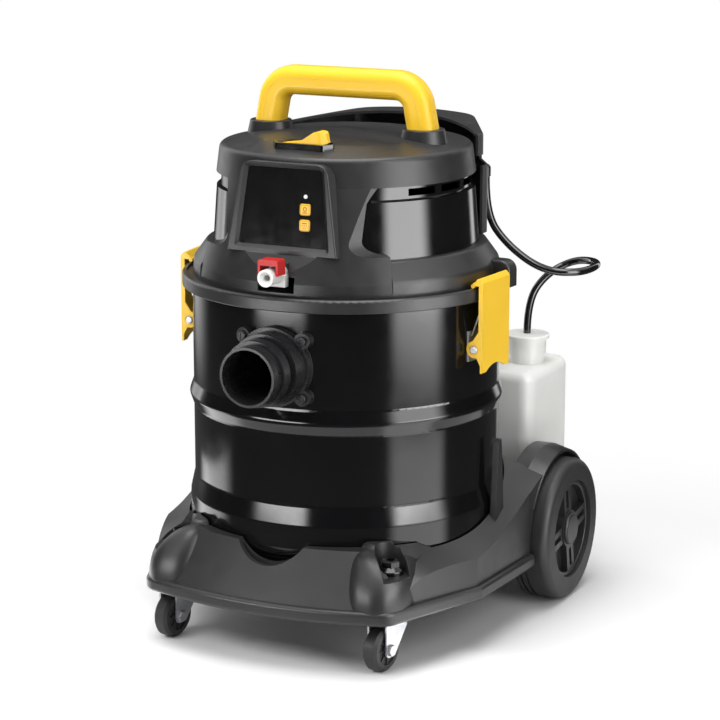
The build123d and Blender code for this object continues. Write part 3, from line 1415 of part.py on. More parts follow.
def housing_body(inset, low):
    """Crowned housing, a little narrower above the side slots."""
    edge = DOME_Z - HOUSING_EDGE_DROP - inset
    wide = HOUSING_FRONT_HALF + HOUSING_WALL
    crown = ThreePointArc((-wide, edge), (0, DOME_Z + HOUSING_CREST - inset), (wide, edge))
    sides = Polyline((wide, edge), (wide, low), (-wide, low), (-wide, edge))
    arch = extrude(Plane.XZ * make_face([crown, sides]), THROUGH, both=True)
    step_z = CAP_BOTTOM_Z + EXHAUST_H - inset
    lower = Pos(0, 0, low) * extrude(housing_plan(inset, HOUSING_FRONT_HALF), step_z - low)
    upper = Pos(0, 0, low) * extrude(housing_plan(inset, HOUSING_TOP_HALF), DOME_Z - low + HOUSING_WALL)
    return arch & (lower + upper)


def make_housing():
    low = LID_TOP_Z + SEAT_GAP
    housing = housing_body(0, low)
    crest = housing.faces().sort_by(Axis.Z)[-1]
    housing = fillet(crest.edges().sort_by(Axis.Y)[1:], HOUSING_EDGE_R)
    housing -= sharp(
        (0, LID_STEP_Z),
        (WAIST_FOOT_R + HOUSING_GAP, LID_STEP_Z),
        (WAIST_FOOT_R + HOUSING_GAP, LID_TOP_Z),
        (WAIST_TOP_R + HOUSING_GAP, WAIST_TOP_Z),
        (CAP_R + HOUSING_GAP, CAP_BOTTOM_Z),
        (CAP_R + HOUSING_GAP, 2 * DOME_Z),
        (0, 2 * DOME_Z),
    )
    housing -= block((-THROUGH, -THROUGH, 0), (THROUGH, HOUSING_START_Y, 2 * DOME_Z))
    housing -= housing_body(HOUSING_WALL, low + HOUSING_WALL)
    slot_x = HOUSING_TOP_HALF - EXHAUST_IN
    slot = block((slot_x, 0, CAP_BOTTOM_Z), (THROUGH, EXHAUST_REAR_Y, CAP_BOTTOM_Z + EXHAUST_H))
    housing -= both(slot)
    return housing - rod((0, BARB_Y, BARB_Z), (BARB_X, BARB_Y, BARB_Z), BARB_R + SEAT_GAP)


def make_pump():
    floor = LID_TOP_Z + HOUSING_WALL + 2 * SEAT_GAP
    head_x = PUMP_HEAD_L / 5
    head_y = PUMP_HEAD_W / 2
    port_x = head_x + PUMP_HEAD_L / 2
    port_z = floor + PUMP_HEAD_H
    pump = rod((head_x - PUMP_L, PUMP_Y, floor + PUMP_R), (head_x, PUMP_Y, floor + PUMP_R), PUMP_R)
    foot_y = 0.7 * PUMP_R
    pump += block((-PUMP_HEAD_L, PUMP_Y - foot_y, floor), (0, PUMP_Y + foot_y, floor + PUMP_R / 2))
    pump += block((head_x, PUMP_Y - head_y, floor), (head_x + PUMP_HEAD_L, PUMP_Y + head_y, port_z))
    return pump + upright(port_x, PUMP_Y, port_z, port_z + PUMP_PORT_H, PUMP_PORT_R)


def make_barb():
    barb = rod((BARB_X - BARB_ROOT, BARB_Y, BARB_Z), (BARB_X, BARB_Y, BARB_Z), BARB_R)
    barb += Pos(BARB_X, BARB_Y, BARB_Z) * Sphere(BARB_R)
    barb += upright(BARB_X, BARB_Y, BARB_SHOULDER_Z, BARB_Z, BARB_R)
    return barb + upright(BARB_X, BARB_Y, BARB_SHOULDER_Z - NIPPLE_L, BARB_SHOULDER_Z, NIPPLE_R)


def hose_path():
    points = [Vector(*p) for p in HOSE_POINTS]
    radii = []
    for a, b, c in zip(points, points[1:], points[2:]):
        turn = radians((b - a).get_angle(c - b))
        radii.append(0.45 * min((b - a).length, (c - b).length) / tan(turn / 2))
    print("hose arc radii", [round(r, 1) for r in radii])
    return FilletPolyline(*points, radius=radii)


def make_hose():
    path = hose_path()
    start = Plane(origin=path @ 0, z_dir=path % 0)
    return sweep(start * (Circle(HOSE_R) - Circle(HOSE_BORE_R)), path=path)


def bottle_body(inset):
    low = TANK_BOTTOM_Z + SEAT_GAP + inset
    high = BOTTLE_SHOULDER_Z - inset
    body = block(
        (-BOTTLE_HALF + inset, BOTTLE_FRONT_Y + inset, low),
        (BOTTLE_HALF - inset, BOTTLE_REAR_Y - inset, high),
    )
    body = fillet(body.edges().filter_by(Axis.Z), BOTTLE_CORNER_R - inset)
    body = fillet(body.faces().sort_by(Axis.Z)[-1].edges(), BOTTLE_TOP_R - inset)
    return fillet(body.faces().sort_by(Axis.Z)[0].edges(), BOTTLE_FOOT_R - inset)


def make_bottle():
    root_z = BOTTLE_SHOULDER_Z - 3 * BOTTLE_WALL
    bottle = bottle_body(0)
    bottle += upright(NECK_X, NECK_Y, root_z, BOTTLE_NECK_Z, BOTTLE_NECK_R)
    bottle -= bottle_body(BOTTLE_WALL)
    return bottle - upright(NECK_X, NECK_Y, root_z - 1, BOTTLE_NECK_Z + 1, BOTTLE_NECK_R - BOTTLE_WALL)


def make_bottle_cap():
    low = BOTTLE_NECK_Z + SEAT_GAP
    skirt_in = BOTTLE_NECK_R + SLIDE_GAP
    cap = upright(NECK_X, NECK_Y, low, BOTTLE_CAP_Z, BOTTLE_CAP_R)
    cap = fillet(cap.edges().group_by(Axis.Z)[-1], BOTTLE_CAP_T / 3)
    cap += upright(NECK_X, NECK_Y, low - CAP_SKIRT_L, low + 1, skirt_in + CAP_SKIRT_T)
    cap -= upright(NECK_X, NECK_Y, low - CAP_SKIRT_L - 1, low, skirt_in)
    cap += upright(NECK_X, NECK_Y, BOTTLE_CAP_Z - 1, BOTTLE_CAP_Z + NIPPLE_L, NIPPLE_R)
    return cap - upright(NECK_X, NECK_Y, low - 1, low + PICKUP_PLUG, PICKUP_R + RUN_GAP)


def make_pickup():
    low = TANK_BOTTOM_Z + PICKUP_LIFT
    plug = BOTTLE_NECK_Z + SEAT_GAP + PICKUP_PLUG
    tube = upright(NECK_X, NECK_Y, low, plug - SEAT_GAP, PICKUP_R)
    return tube - upright(NECK_X, NECK_Y, low - 1, plug - PICKUP_PLUG, PICKUP_R - PICKUP_WALL)


def make_bracket():
    inner = LATCH_HALF_W - LATCH_CHEEK - SLIDE_GAP
    wall_r = TANK_R + SEAT_GAP
    plate = Pos(0, 0, LATCH_PIVOT_Z + BRACKET_T) * (
        Cylinder(wall_r + BRACKET_T, BRACKET_H) - Cylinder(wall_r, BRACKET_H)
    )
    plate &= block((0, -inner, 0), (THROUGH, inner, THROUGH))
    ear = block(
        (TANK_R - BRACKET_T, inner - BRACKET_T, LATCH_PIVOT_Z - BRACKET_EAR_R),
        (LATCH_PIVOT_R, inner, LATCH_PIVOT_Z + BRACKET_EAR_R),
    )
    ear += rod(
        (LATCH_PIVOT_R, inner - BRACKET_T, LATCH_PIVOT_Z),
        (LATCH_PIVOT_R, inner, LATCH_PIVOT_Z),
        BRACKET_EAR_R,
    )
    ear -= Pos(0, 0, LATCH_PIVOT_Z) * Cylinder(wall_r, 2 * BRACKET_H)
    bracket = plate + ear + mirror(ear, about=Plane.XZ)
    return bracket - latch_bar(LATCH_PIN_R + RUN_GAP, 2 * LATCH_HALF_W)


def latch_bar(radius, half):
    return rod((LATCH_PIVOT_R, -half, LATCH_PIVOT_Z), (LATCH_PIVOT_R, half, LATCH_PIVOT_Z), radius)


def make_lever():
    out = LATCH_FACE_R + LATCH_SHEET / 2
    inn = LATCH_FACE_R - LATCH_SHEET / 2
    bend = 2 * LATCH_SHEET
    tip_z = FLANGE_TOP_Z + LATCH_ROLL_R + SLIDE_GAP
    edge = LATCH_SHEET / 3
    sheet = FilletPolyline(
        (out, LATCH_FOOT_Z),
        (out, LATCH_TOP_Z - bend),
        (out - bend, LATCH_TOP_Z + LATCH_SHEET / 2),
        (LATCH_TIP_R - edge, tip_z + edge),
        (LATCH_TIP_R + edge, tip_z - edge),
        (out - bend, LATCH_TOP_Z - LATCH_SHEET),
        (inn, LATCH_TOP_Z - bend - edge),
        (inn, LATCH_FOOT_Z),
        radius=[edge, LATCH_SHEET, LATCH_SHEET, 0, 0, edge, edge, edge],
        close=True,
    )
    lever = extrude(Plane.XZ * make_face(sheet), LATCH_HALF_W, both=True)
    lever += rod((LATCH_TIP_R, -LATCH_HALF_W, tip_z), (LATCH_TIP_R, LATCH_HALF_W, tip_z), LATCH_ROLL_R)
    scoop_r = (LATCH_SCOOP_HALF ** 2 + LATCH_SCOOP_DEPTH ** 2) / (2 * LATCH_SCOOP_DEPTH)
    scoop_z = LATCH_FOOT_Z + LATCH_SCOOP_DEPTH - scoop_r
    lever -= rod((LATCH_PIVOT_R, 0, scoop_z), (LATCH_PIVOT_R + THROUGH, 0, scoop_z), scoop_r)
    beside = FLANGE_R + LATCH_CLEAR
    hook_z = FLANGE_TOP_Z + LATCH_HOOK_RISE
    cheek = Polyline(
        (LATCH_FACE_R, LATCH_PIVOT_Z - LATCH_SPREAD),
        (LATCH_PIVOT_R + LATCH_SHEET, LATCH_PIVOT_Z - 0.9 * LATCH_EAR_R),
        (LATCH_PIVOT_R - LATCH_SHEET, LATCH_PIVOT_Z + 0.9 * LATCH_EAR_R),
        (beside, LATCH_PIVOT_Z + LATCH_SPREAD),
        (beside, hook_z),
        (LATCH_TIP_R, hook_z),
        (LATCH_TIP_R, hook_z + LATCH_SHEET),
        (out - bend, LATCH_TOP_Z - edge),
        (LATCH_FACE_R, LATCH_TOP_Z - bend),
        close=True,
    )
    side = extrude(Pos(0, LATCH_HALF_W, 0) * (Plane.XZ * make_face(cheek)), LATCH_CHEEK)
    side += rod(
        (LATCH_PIVOT_R, LATCH_HALF_W - LATCH_CHEEK, LATCH_PIVOT_Z),
        (LATCH_PIVOT_R, LATCH_HALF_W, LATCH_PIVOT_Z),
        LATCH_EAR_R,
    )
    lever += side + mirror(side, about=Plane.XZ)
    return lever - latch_bar(LATCH_PIN_R + RUN_GAP, 2 * LATCH_HALF_W)


def make_latch_pin():
    reach = LATCH_HALF_W + SLIDE_GAP
    head = rod(
        (LATCH_PIVOT_R, reach, LATCH_PIVOT_Z),
        (LATCH_PIVOT_R, reach + LATCH_HEAD_T, LATCH_PIVOT_Z),
        LATCH_HEAD_R,
    )
    head = fillet(head.edges().group_by(Axis.Y)[-1], LATCH_HEAD_T / 2)
    return latch_bar(LATCH_PIN_R, reach + LATCH_HEAD_T / 2) + head + mirror(head, about=Plane.XZ)


def make_latch_spring():
    half = LATCH_HALF_W - SPRING_IN
    foot = TANK_R + BRACKET_T + SPRING_R + 2 * SEAT_GAP
    low = sqrt(foot ** 2 - half ** 2)
    top_r = LATCH_FACE_R - SPRING_BEND_R
    path = FilletPolyline(
        (low, -half, LATCH_PIVOT_Z + SPRING_FOOT),
        (top_r, -half, LATCH_PIVOT_Z + SPRING_RISE),
        (top_r, half, LATCH_PIVOT_Z + SPRING_RISE),
        (low, half, LATCH_PIVOT_Z + SPRING_FOOT),
        radius=SPRING_BEND_R,
    )
    start = Plane(origin=path @ 0, z_dir=path % 0)
    return sweep(start * Circle(SPRING_R), path=path)


def latch_right(shape):
    return Rot(0, 0, LATCH_ANGLE) * shape


def make_coupling():
    z = COUPLING_Z
    back = COUPLING_BACK_Y - SEAT_GAP
    body = rod((0, back, z), (0, COUPLING_FACE_Y, z), COUPLING_R)
    body += rod((0, back, z), (0, back - COUPLING_FLANGE_T, z), COUPLING_FLANGE_R)
    body += block(
        (-COUPLING_FLANGE_R, back - COUPLING_FOOT_L, z - COUPLING_FOOT_H), (COUPLING_FLANGE_R, back, z)
    )
    body -= rod((0, back - COUPLING_END_T, z), (0, COUPLING_FACE_Y - 1, z), COUPLING_BORE_R)
    stand = (Align.CENTER, Align.CENTER, Align.MIN)
    sink = Cone(COUPLING_BORE_R, COUPLING_SINK_R, COUPLING_SINK_L, align=stand)
    return body - Plane(origin=(0, COUPLING_FACE_Y + COUPLING_SINK_L, z), z_dir=(0, -1, 0)) * sink


def make_clip():
    near = COUPLING_FACE_Y + CLIP_SET
    far = COUPLING_BACK_Y - COUPLING_FOOT_L - 2 * SLIDE_GAP
    slot = COUPLING_R + SLIDE_GAP
    roof = COUPLING_Z + COUPLING_R + CLIP_TRAVEL + SLIDE_GAP
    clip = block((-CLIP_HALF_W, near, COUPLING_Z + CLIP_LIFT), (CLIP_HALF_W, far, CLIP_TOP_Z))
    clip = fillet(clip.edges().filter_by(Axis.Y).group_by(Axis.Z)[-1], CLIP_EDGE_R)
    return clip - block((-slot, near - 1, COUPLING_Z), (slot, far + 1, roof))


def make_motor():
    step = MOTOR_LOW_Z + MOTOR_CASE_H
    top = MOTOR_LOW_Z + MOTOR_H
    wall = MOTOR_CASE_WALL
    motor = sharp(
        (LID_EYE_R, MOTOR_LOW_Z),
        (MOTOR_CASE_R, MOTOR_LOW_Z),
        (MOTOR_CASE_R, step),
        (MOTOR_CAN_R, step),
        (MOTOR_CAN_R, top),
        (SHAFT_R + RUN_GAP, top),
        (SHAFT_R + RUN_GAP, step - wall),
        (MOTOR_CASE_R - wall, step - wall),
        (MOTOR_CASE_R - wall, MOTOR_LOW_Z + wall),
        (LID_EYE_R, MOTOR_LOW_Z + wall),
    )
    for i in range(MOTOR_PORTS):
        port = Box(4 * wall, MOTOR_PORT_W, MOTOR_PORT_H)
        port = Pos(MOTOR_CASE_R, 0, MOTOR_LOW_Z + MOTOR_CASE_H / 2) * port
        motor -= Rot(0, 0, 360 / MOTOR_PORTS * i) * port
    return motor


def make_rotor():
    low = MOTOR_LOW_Z + 2 * MOTOR_CASE_WALL
    plate = low + IMPELLER_H
    vane_h = 0.75 * IMPELLER_H
    rotor = upright(0, 0, low, MOTOR_LOW_Z + MOTOR_H + SHAFT_TAIL, SHAFT_R)
    rotor += upright(0, 0, plate, plate + IMPELLER_T, IMPELLER_R)
    rotor += upright(0, 0, low, plate, ROTOR_HUB_R)
    for i in range(VANES):
        vane = Rot(0, 0, VANE_TURN) * Box(VANE_L, VANE_T, vane_h)
        vane = Pos(0.58 * IMPELLER_R, 0, plate - vane_h / 2) * vane
        rotor += Rot(0, 0, 360 / VANES * i) * vane
    return rotor


def make_motor_seal():
    low = LID_FLOOR_Z + SEAT_GAP
    high = low + MOTOR_SEAL_T
    inner = LID_EYE_R + MOTOR_SEAL_T
    outer = MOTOR_CASE_R - MOTOR_SEAL_T / 2
    return sharp((inner, low), (outer, low), (outer, high), (inner, high))


def make_cage():
    top = CAGE_BOTTOM_Z + CAGE_H
    cage = sharp(
        (CAGE_SEAT_R, top - CAGE_T), (CAGE_FLANGE_R, top - CAGE_T), (CAGE_FLANGE_R, top), (CAGE_SEAT_R, top)
    )
    cage += sharp(
        (CAGE_RING_R, CAGE_BOTTOM_Z),
        (CAGE_R, CAGE_BOTTOM_Z),
        (CAGE_R, CAGE_BOTTOM_Z + CAGE_T),
        (CAGE_RING_R, CAGE_BOTTOM_Z + CAGE_T),
    )
    for i in range(CAGE_BARS):
        bar = Pos(CAGE_R - CAGE_T / 2, 0, CAGE_BOTTOM_Z + CAGE_H / 2) * Box(CAGE_T, CAGE_BAR_W, CAGE_H)
        cage += Rot(0, 0, 45 + 360 / CAGE_BARS * i) * bar
    return cage


def make_float():
    seat = sqrt(FLOAT_R ** 2 - CAGE_RING_R ** 2)
    return Pos(0, 0, CAGE_BOTTOM_Z + CAGE_T + seat + SLIDE_GAP) * Sphere(FLOAT_R)


def build():
    nodes = {
        "base_dolly": make_base(),
        "base_screws": make_base_screws(),
        "rear_axle": make_rear_axle(),
        "rear_tyre_right": make_tyre(),
        "rear_hub_right": make_hub(),
        "rear_cap_right": make_cap(),
        "tank": make_tank(),
        "inlet_port": make_port(),
        "inlet_gasket": make_port_gasket(),
        "inlet_screws": make_port_screws(),
        "inlet_deflector": make_deflector(),
        "lid_base": make_lid(),
        "lid_gasket": make_lid_gasket(),
        "waist_drum": make_waist(),
        "top_cover": make_top_cover(),
        "control_panel": make_panel(),
        "led_lens": make_led(),
        "panel_button_lower": make_button(BUTTON_LOW_Z),
        "panel_button_upper": make_button(BUTTON_HIGH_Z),
        "rocker_bezel": make_bezel(),
        "rocker_switch": make_rocker(),
        "handle_outer": make_handle(True),
        "handle_inner": make_handle(False),
        "rear_housing": make_housing(),
        "solution_pump": make_pump(),
        "hose_barb": make_barb(),
        "solution_hose": make_hose(),
        "solution_bottle": make_bottle(),
        "bottle_cap": make_bottle_cap(),
        "pickup_tube": make_pickup(),
        "coupling_body": make_coupling(),
        "coupling_clip": make_clip(),
        "vacuum_motor": make_motor(),
        "motor_rotor": make_rotor(),
        "motor_seal": make_motor_seal(),
        "float_cage": make_cage(),
        "float_ball": make_float(),
    }
    for name in ("rear_tyre", "rear_hub", "rear_cap"):
        nodes[name + "_left"] = mirrored(nodes[name + "_right"])
    casters = {
        "caster_stem": make_caster_stem(),
        "caster_fork": make_caster_fork(),
        "caster_wheel": make_caster_wheel(),
        "caster_axle": make_caster_axle(),
    }
    for name, shape in casters.items():
        nodes[name + "_right"] = caster_at(shape, 1)
        nodes[name + "_left"] = caster_at(shape, -1)
    latches = {
        "latch_bracket": make_bracket(),
        "latch_lever": make_lever(),
        "latch_pin": make_latch_pin(),
        "latch_spring": make_latch_spring(),
    }
    for name, shape in latches.items():
        nodes[name + "_right"] = latch_right(shape)
        nodes[name + "_left"] = mirrored(latch_right(shape))
    return nodes


for name, shape in build().items():
    export_step(Pos(0, BASE_FRAME_SHIFT, 0) * shape, f"parts/{name}.step")
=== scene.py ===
import json
from math import cos, pi, radians, sin

import bpy
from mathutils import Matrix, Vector


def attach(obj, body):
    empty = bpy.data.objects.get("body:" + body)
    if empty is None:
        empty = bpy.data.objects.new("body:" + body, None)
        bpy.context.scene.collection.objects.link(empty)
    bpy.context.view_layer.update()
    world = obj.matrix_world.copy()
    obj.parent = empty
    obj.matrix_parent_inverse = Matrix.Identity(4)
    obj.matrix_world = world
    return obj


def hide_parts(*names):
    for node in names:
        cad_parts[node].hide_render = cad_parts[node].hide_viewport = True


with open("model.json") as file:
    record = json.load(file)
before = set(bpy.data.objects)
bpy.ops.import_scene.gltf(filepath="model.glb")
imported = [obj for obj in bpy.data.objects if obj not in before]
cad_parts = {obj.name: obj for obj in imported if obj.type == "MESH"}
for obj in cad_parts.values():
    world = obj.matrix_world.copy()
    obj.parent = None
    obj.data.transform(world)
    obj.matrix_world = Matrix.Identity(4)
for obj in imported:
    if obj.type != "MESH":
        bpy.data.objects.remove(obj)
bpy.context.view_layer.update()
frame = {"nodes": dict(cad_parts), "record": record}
nodes = frame["nodes"]

# All lengths in metres. The front is -Y, +X is to the right and the floor is z = 0.

# Camera at the photograph's angle
CAMERA_PLACE = (1.230, -2.5135, 0.9387)
CAMERA_PITCH = 13.07
CAMERA_TURN = 26.12
CAMERA_LENS = 123.57
CAMERA_SENSOR = 36.0

# Solution hose
HOSE_DIAMETER = 0.009
HOSE_POINTS = (
    (0.104, 0.117, 0.49585),
    (0.104, 0.117, 0.452),
    (0.128, 0.123, 0.416),
    (0.168, 0.140, 0.384),
    (0.210, 0.160, 0.382),
    (0.214, 0.2155, 0.385),
    (0.168, 0.2465, 0.381),
    (0.136, 0.228, 0.362),
    (0.120, 0.212, 0.330),
    (0.120, 0.212, 0.29115),
)

# Smooth skins over the front lobes of the base: height, middle, half width and nose of each section
LOBE_SECTIONS = (
    (0.0720, 0.1240, 0.0370, -0.2505),
    (0.0760, 0.1240, 0.0370, -0.2503),
    (0.0820, 0.1240, 0.0368, -0.2496),
    (0.0900, 0.1236, 0.0364, -0.2476),
    (0.0980, 0.1230, 0.0356, -0.2444),
    (0.1060, 0.1218, 0.0342, -0.2402),
    (0.1120, 0.1200, 0.0320, -0.2362),
    (0.1180, 0.1174, 0.0286, -0.2314),
    (0.1230, 0.1146, 0.0242, -0.2266),
    (0.1270, 0.1118, 0.0190, -0.2214),
    (0.1300, 0.1090, 0.0130, -0.2150),
    (0.1318, 0.1070, 0.0060, -0.2070),
    (0.1322, 0.1060, 0.0020, -0.2020),
)
LOBE_BACK = -0.184
LOBE_BLUNTNESS = 0.8
LOBE_EDGE = 0.0015
LOBE_EDGE_ANGLE = 40.0

# Slot round a lobe screw, with its height and radius at the floor and at the mouth
SCREW_PLACE = (0.131, -0.197)
SLOT_LENGTH = 0.070
SLOT_TURN = -50.3
SLOT_WALLS = ((0.1056, 0.0168), (0.150, 0.020))

# Room that the drum takes, with its height and radius at both ends
DRUM_MIDDLE = (0.0, -0.040)
DRUM_ROOM = ((0.060, 0.182), (0.150, 0.182))

# Noise values between which a finish goes through its whole range
NOISE_RANGE = (0.3, 0.7)

# Dark cards round the set, with the radius and height of each edge, then the floor, world and lamps
CARD_EDGES = ((0.50, 0.002), (4.6, 0.002), (4.6, 3.4))
FLOOR_HALF = 30.0
FLOOR_FADE = (0.30, 0.85)
FLOOR_GLOW_Z = 0.004
WORLD_LIGHT = 0.24
LAMP_AIM = (0.0, 0.0, 0.32)


# Helpers for objects

def scene_object(name, data):
    obj = bpy.data.objects.new(name, data)
    bpy.context.scene.collection.objects.link(obj)
    return obj


def mesh_object(name, verts, faces):
    mesh = bpy.data.meshes.new(name)
    mesh.from_pydata(verts, [], faces)
    return scene_object(name, mesh)


def point_at(obj, place, aim):
    obj.location = place
    obj.rotation_euler = (Vector(aim) - Vector(place)).to_track_quat("-Z", "Y").to_euler()


def turns(steps, start=0.0):
    """Angles of a full turn in even steps."""
    return [2 * pi * (i + start) / steps for i in range(steps)]


def paint(obj, material):
    obj.data.materials.clear()
    obj.data.materials.append(material)


# Helpers for shader nodes

def add(tree, kind, **values):
    node = tree.nodes.new(kind)
    for key, value in values.items():
        setattr(node, key, value)
    return node


def shader(name):
    material = bpy.data.materials.new(name)
    material.use_nodes = True
    return material, material.node_tree, material.node_tree.nodes["Principled BSDF"]


def maths(tree, operation, *values):
    """Math node fed by sockets or plain numbers."""
    node = add(tree, "ShaderNodeMath", operation=operation)
    for socket, value in zip(node.inputs, values):
        if isinstance(value, (int, float)):
            socket.default_value = value
        else:
            tree.links.new(value, socket)
    return node.outputs[0]


def ramp(tree, value, source, target, interpolation="LINEAR"):
    """The value taken from one range to another."""
    node = add(tree, "ShaderNodeMapRange", interpolation_type=interpolation)
    node.inputs["From Min"].default_value, node.inputs["From Max"].default_value = source
    node.inputs["To Min"].default_value, node.inputs["To Max"].default_value = target
    tree.links.new(value, node.inputs["Value"])
    return node.outputs["Result"]


def coordinates(tree, kind):
    return add(tree, "ShaderNodeTexCoord").outputs[kind]


def split(tree, vector):
    node = add(tree, "ShaderNodeSeparateXYZ")
    tree.links.new(vector, node.inputs[0])
    return node.outputs


def noise(tree, coords, scale, detail=2.0, rough=0.5):
    node = add(tree, "ShaderNodeTexNoise")
    node.inputs["Scale"].default_value = scale
    node.inputs["Detail"].default_value = detail
    node.inputs["Roughness"].default_value = rough
    tree.links.new(coords, node.inputs["Vector"])
    return node.outputs["Fac"]


def bump(tree, height, strength, distance):
    node = add(tree, "ShaderNodeBump")
    node.inputs["Strength"].default_value = strength
    node.inputs["Distance"].default_value = distance
    tree.links.new(height, node.inputs["Height"])
    return node


def tint(tree, value, dark, light):
    node = add(tree, "ShaderNodeValToRGB")
    for element, place, colour in zip(node.color_ramp.elements, NOISE_RANGE, (dark, light)):
        element.position = place
        element.color = (*colour, 1)
    tree.links.new(value, node.inputs["Fac"])
    return node.outputs["Color"]


def shade(colour, factor):
    return tuple(min(1.0, c * factor) for c in colour)


# Finishes

def surface(name, colour, rough, vary=0.10, rough_vary=0.05, patch=14.0, grain=1500.0, depth=0.00008,
            metal=0.0, specular=0.5, coat=0.0, swell=0.0):
    """Finish with slow colour drift, uneven gloss and a fine surface grain."""
    material, tree, bsdf = shader(name)
    coords = coordinates(tree, "Object")
    drift = noise(tree, coords, patch, 4.0)
    colours = tint(tree, drift, shade(colour, 1 - vary), shade(colour, 1 + vary))
    tree.links.new(colours, bsdf.inputs["Base Color"])
    wear = noise(tree, coords, patch * 4, 6.0, 0.6)
    gloss = ramp(tree, wear, NOISE_RANGE, (rough - rough_vary, rough + rough_vary))
    tree.links.new(gloss, bsdf.inputs["Roughness"])
    relief = bump(tree, noise(tree, coords, grain), 0.6, depth)
    if swell:
        ripple = bump(tree, noise(tree, coords, 22.0, 1.0), 0.5, swell)
        tree.links.new(relief.outputs["Normal"], ripple.inputs["Normal"])
        relief = ripple
    tree.links.new(relief.outputs["Normal"], bsdf.inputs["Normal"])
    bsdf.inputs["Metallic"].default_value = metal
    bsdf.inputs["Specular IOR Level"].default_value = specular
    bsdf.inputs["Coat Weight"].default_value = coat
    bsdf.inputs["Coat Roughness"].default_value = 0.06
    return material


def milky_finish():
    """Blow-moulded plastic that lets some light through."""
    material = surface("milky moulding", (0.90, 0.90, 0.87), 0.36, vary=0.03, depth=0.00006, swell=0.0012)
    bsdf = material.node_tree.nodes["Principled BSDF"]
    bsdf.inputs["Subsurface Weight"].default_value = 0.35
    bsdf.inputs["Subsurface Radius"].default_value = (0.012, 0.012, 0.011)
    return material


def apart(tree, value, middle):
    return maths(tree, "ABSOLUTE", maths(tree, "SUBTRACT", value, middle))


def bar_mask(tree, x, z, place, half):
    """Rectangle on a key face."""
    across = maths(tree, "LESS_THAN", apart(tree, x, place[0]), half[0])
    up = maths(tree, "LESS_THAN", apart(tree, z, place[1]), half[1])
    return maths(tree, "MULTIPLY", across, up)


def ring_mask(tree, x, z, place, radius, half):
    """Ring on a key face, or a dot where the radius is nothing."""
    across = maths(tree, "POWER", apart(tree, x, place[0]), 2.0)
    up = maths(tree, "POWER", apart(tree, z, place[1]), 2.0)
    away = maths(tree, "SQRT", maths(tree, "ADD", across, up))
    return maths(tree, "LESS_THAN", apart(tree, away, radius), half)


def key_finish(name, bars, rings):
    """Yellow key with a plain printed pictogram and a thin border, in shares of its width and height."""
    material = surface(name, (0.90, 0.52, 0.040), 0.34, vary=0.04, depth=0.00005)
    tree = material.node_tree
    bsdf = tree.nodes["Principled BSDF"]
    plain = bsdf.inputs["Base Color"].links[0].from_socket
    face = split(tree, coordinates(tree, "Generated"))
    x, z = face["X"], face["Z"]
    edge = maths(tree, "MAXIMUM", apart(tree, x, 0.5), apart(tree, z, 0.5))
    mark = maths(tree, "LESS_THAN", apart(tree, edge, 0.40), 0.025)
    for place, half in bars:
        mark = maths(tree, "MAXIMUM", mark, bar_mask(tree, x, z, place, half))
    for place, radius, half in rings:
        mark = maths(tree, "MAXIMUM", mark, ring_mask(tree, x, z, place, radius, half))
    mix = add(tree, "ShaderNodeMix", data_type="RGBA")
    tree.links.new(mark, mix.inputs["Factor"])
    tree.links.new(plain, mix.inputs["A"])
    mix.inputs["B"].default_value = (0.34, 0.14, 0.010, 1)
    tree.links.new(mix.outputs["Result"], bsdf.inputs["Base Color"])
    return material


SPRAY_DROPS = ((0.30, 0.50), (0.5, 0.50), (0.70, 0.50), (0.40, 0.30), (0.60, 0.30))
suction_key = key_finish("suction key", [((0.5, 0.26), (0.24, 0.05))], [((0.5, 0.56), 0.16, 0.05)])
spray_key = key_finish(
    "spray key", [((0.5, 0.70), (0.24, 0.05))], [(drop, 0.0, 0.06) for drop in SPRAY_DROPS]
)
milky = milky_finish()
dark_screw = surface(
    "blackened steel", (0.030, 0.030, 0.032), 0.36, vary=0.15, patch=60.0, metal=0.5, depth=0.00003
)
charcoal = surface("charcoal moulding", (0.021, 0.021, 0.022), 0.36, depth=0.00012)
hose_finish = surface("smooth black tube", (0.008, 0.008, 0.008), 0.14, coat=0.6, depth=0.00002)

FINISHES = {
    "charcoal_plastic": charcoal,
    "black_plastic": surface("black moulding", (0.014, 0.014, 0.015), 0.28),
    "black_gloss": surface(
        "polished black", (0.006, 0.006, 0.0065), 0.10, rough_vary=0.03, specular=0.9, depth=0.00002
    ),
    "black_paint": surface(
        "black paint", (0.0045, 0.0045, 0.005), 0.13, rough_vary=0.03, grain=700.0, depth=0.00003
    ),
    "yellow_plastic": surface(
        "yellow moulding", (0.94, 0.58, 0.030), 0.34, vary=0.04, specular=0.35, depth=0.00005
    ),
    "red_plastic": surface(
        "red moulding", (0.50, 0.020, 0.020), 0.42, vary=0.06, specular=0.25, depth=0.00004
    ),
    "white_plastic": surface("white moulding", (0.74, 0.74, 0.72), 0.34, vary=0.03, depth=0.00004),
    "rubber_black": surface("black rubber", (0.017, 0.017, 0.018), 0.50, depth=0.00012),
    "hose_rubber": hose_finish,
    "zinc": surface(
        "bright zinc", (0.52, 0.53, 0.55), 0.34, vary=0.12, rough_vary=0.08, patch=60.0, metal=0.8,
        depth=0.00003
    ),
    "motor_alloy": surface("cast alloy", (0.70, 0.70, 0.71), 0.36, vary=0.08, metal=1.0, depth=0.0001),
}

for entry in frame["record"]["subparts"]:
    paint(nodes[entry["node"]], FINISHES[entry["material_slot"]])
for name in ("solution_bottle", "bottle_cap", "pickup_tube"):
    paint(nodes[name], milky)
paint(nodes["inlet_screws"], dark_screw)
paint(nodes["panel_button_upper"], suction_key)
paint(nodes["panel_button_lower"], spray_key)


# Hose

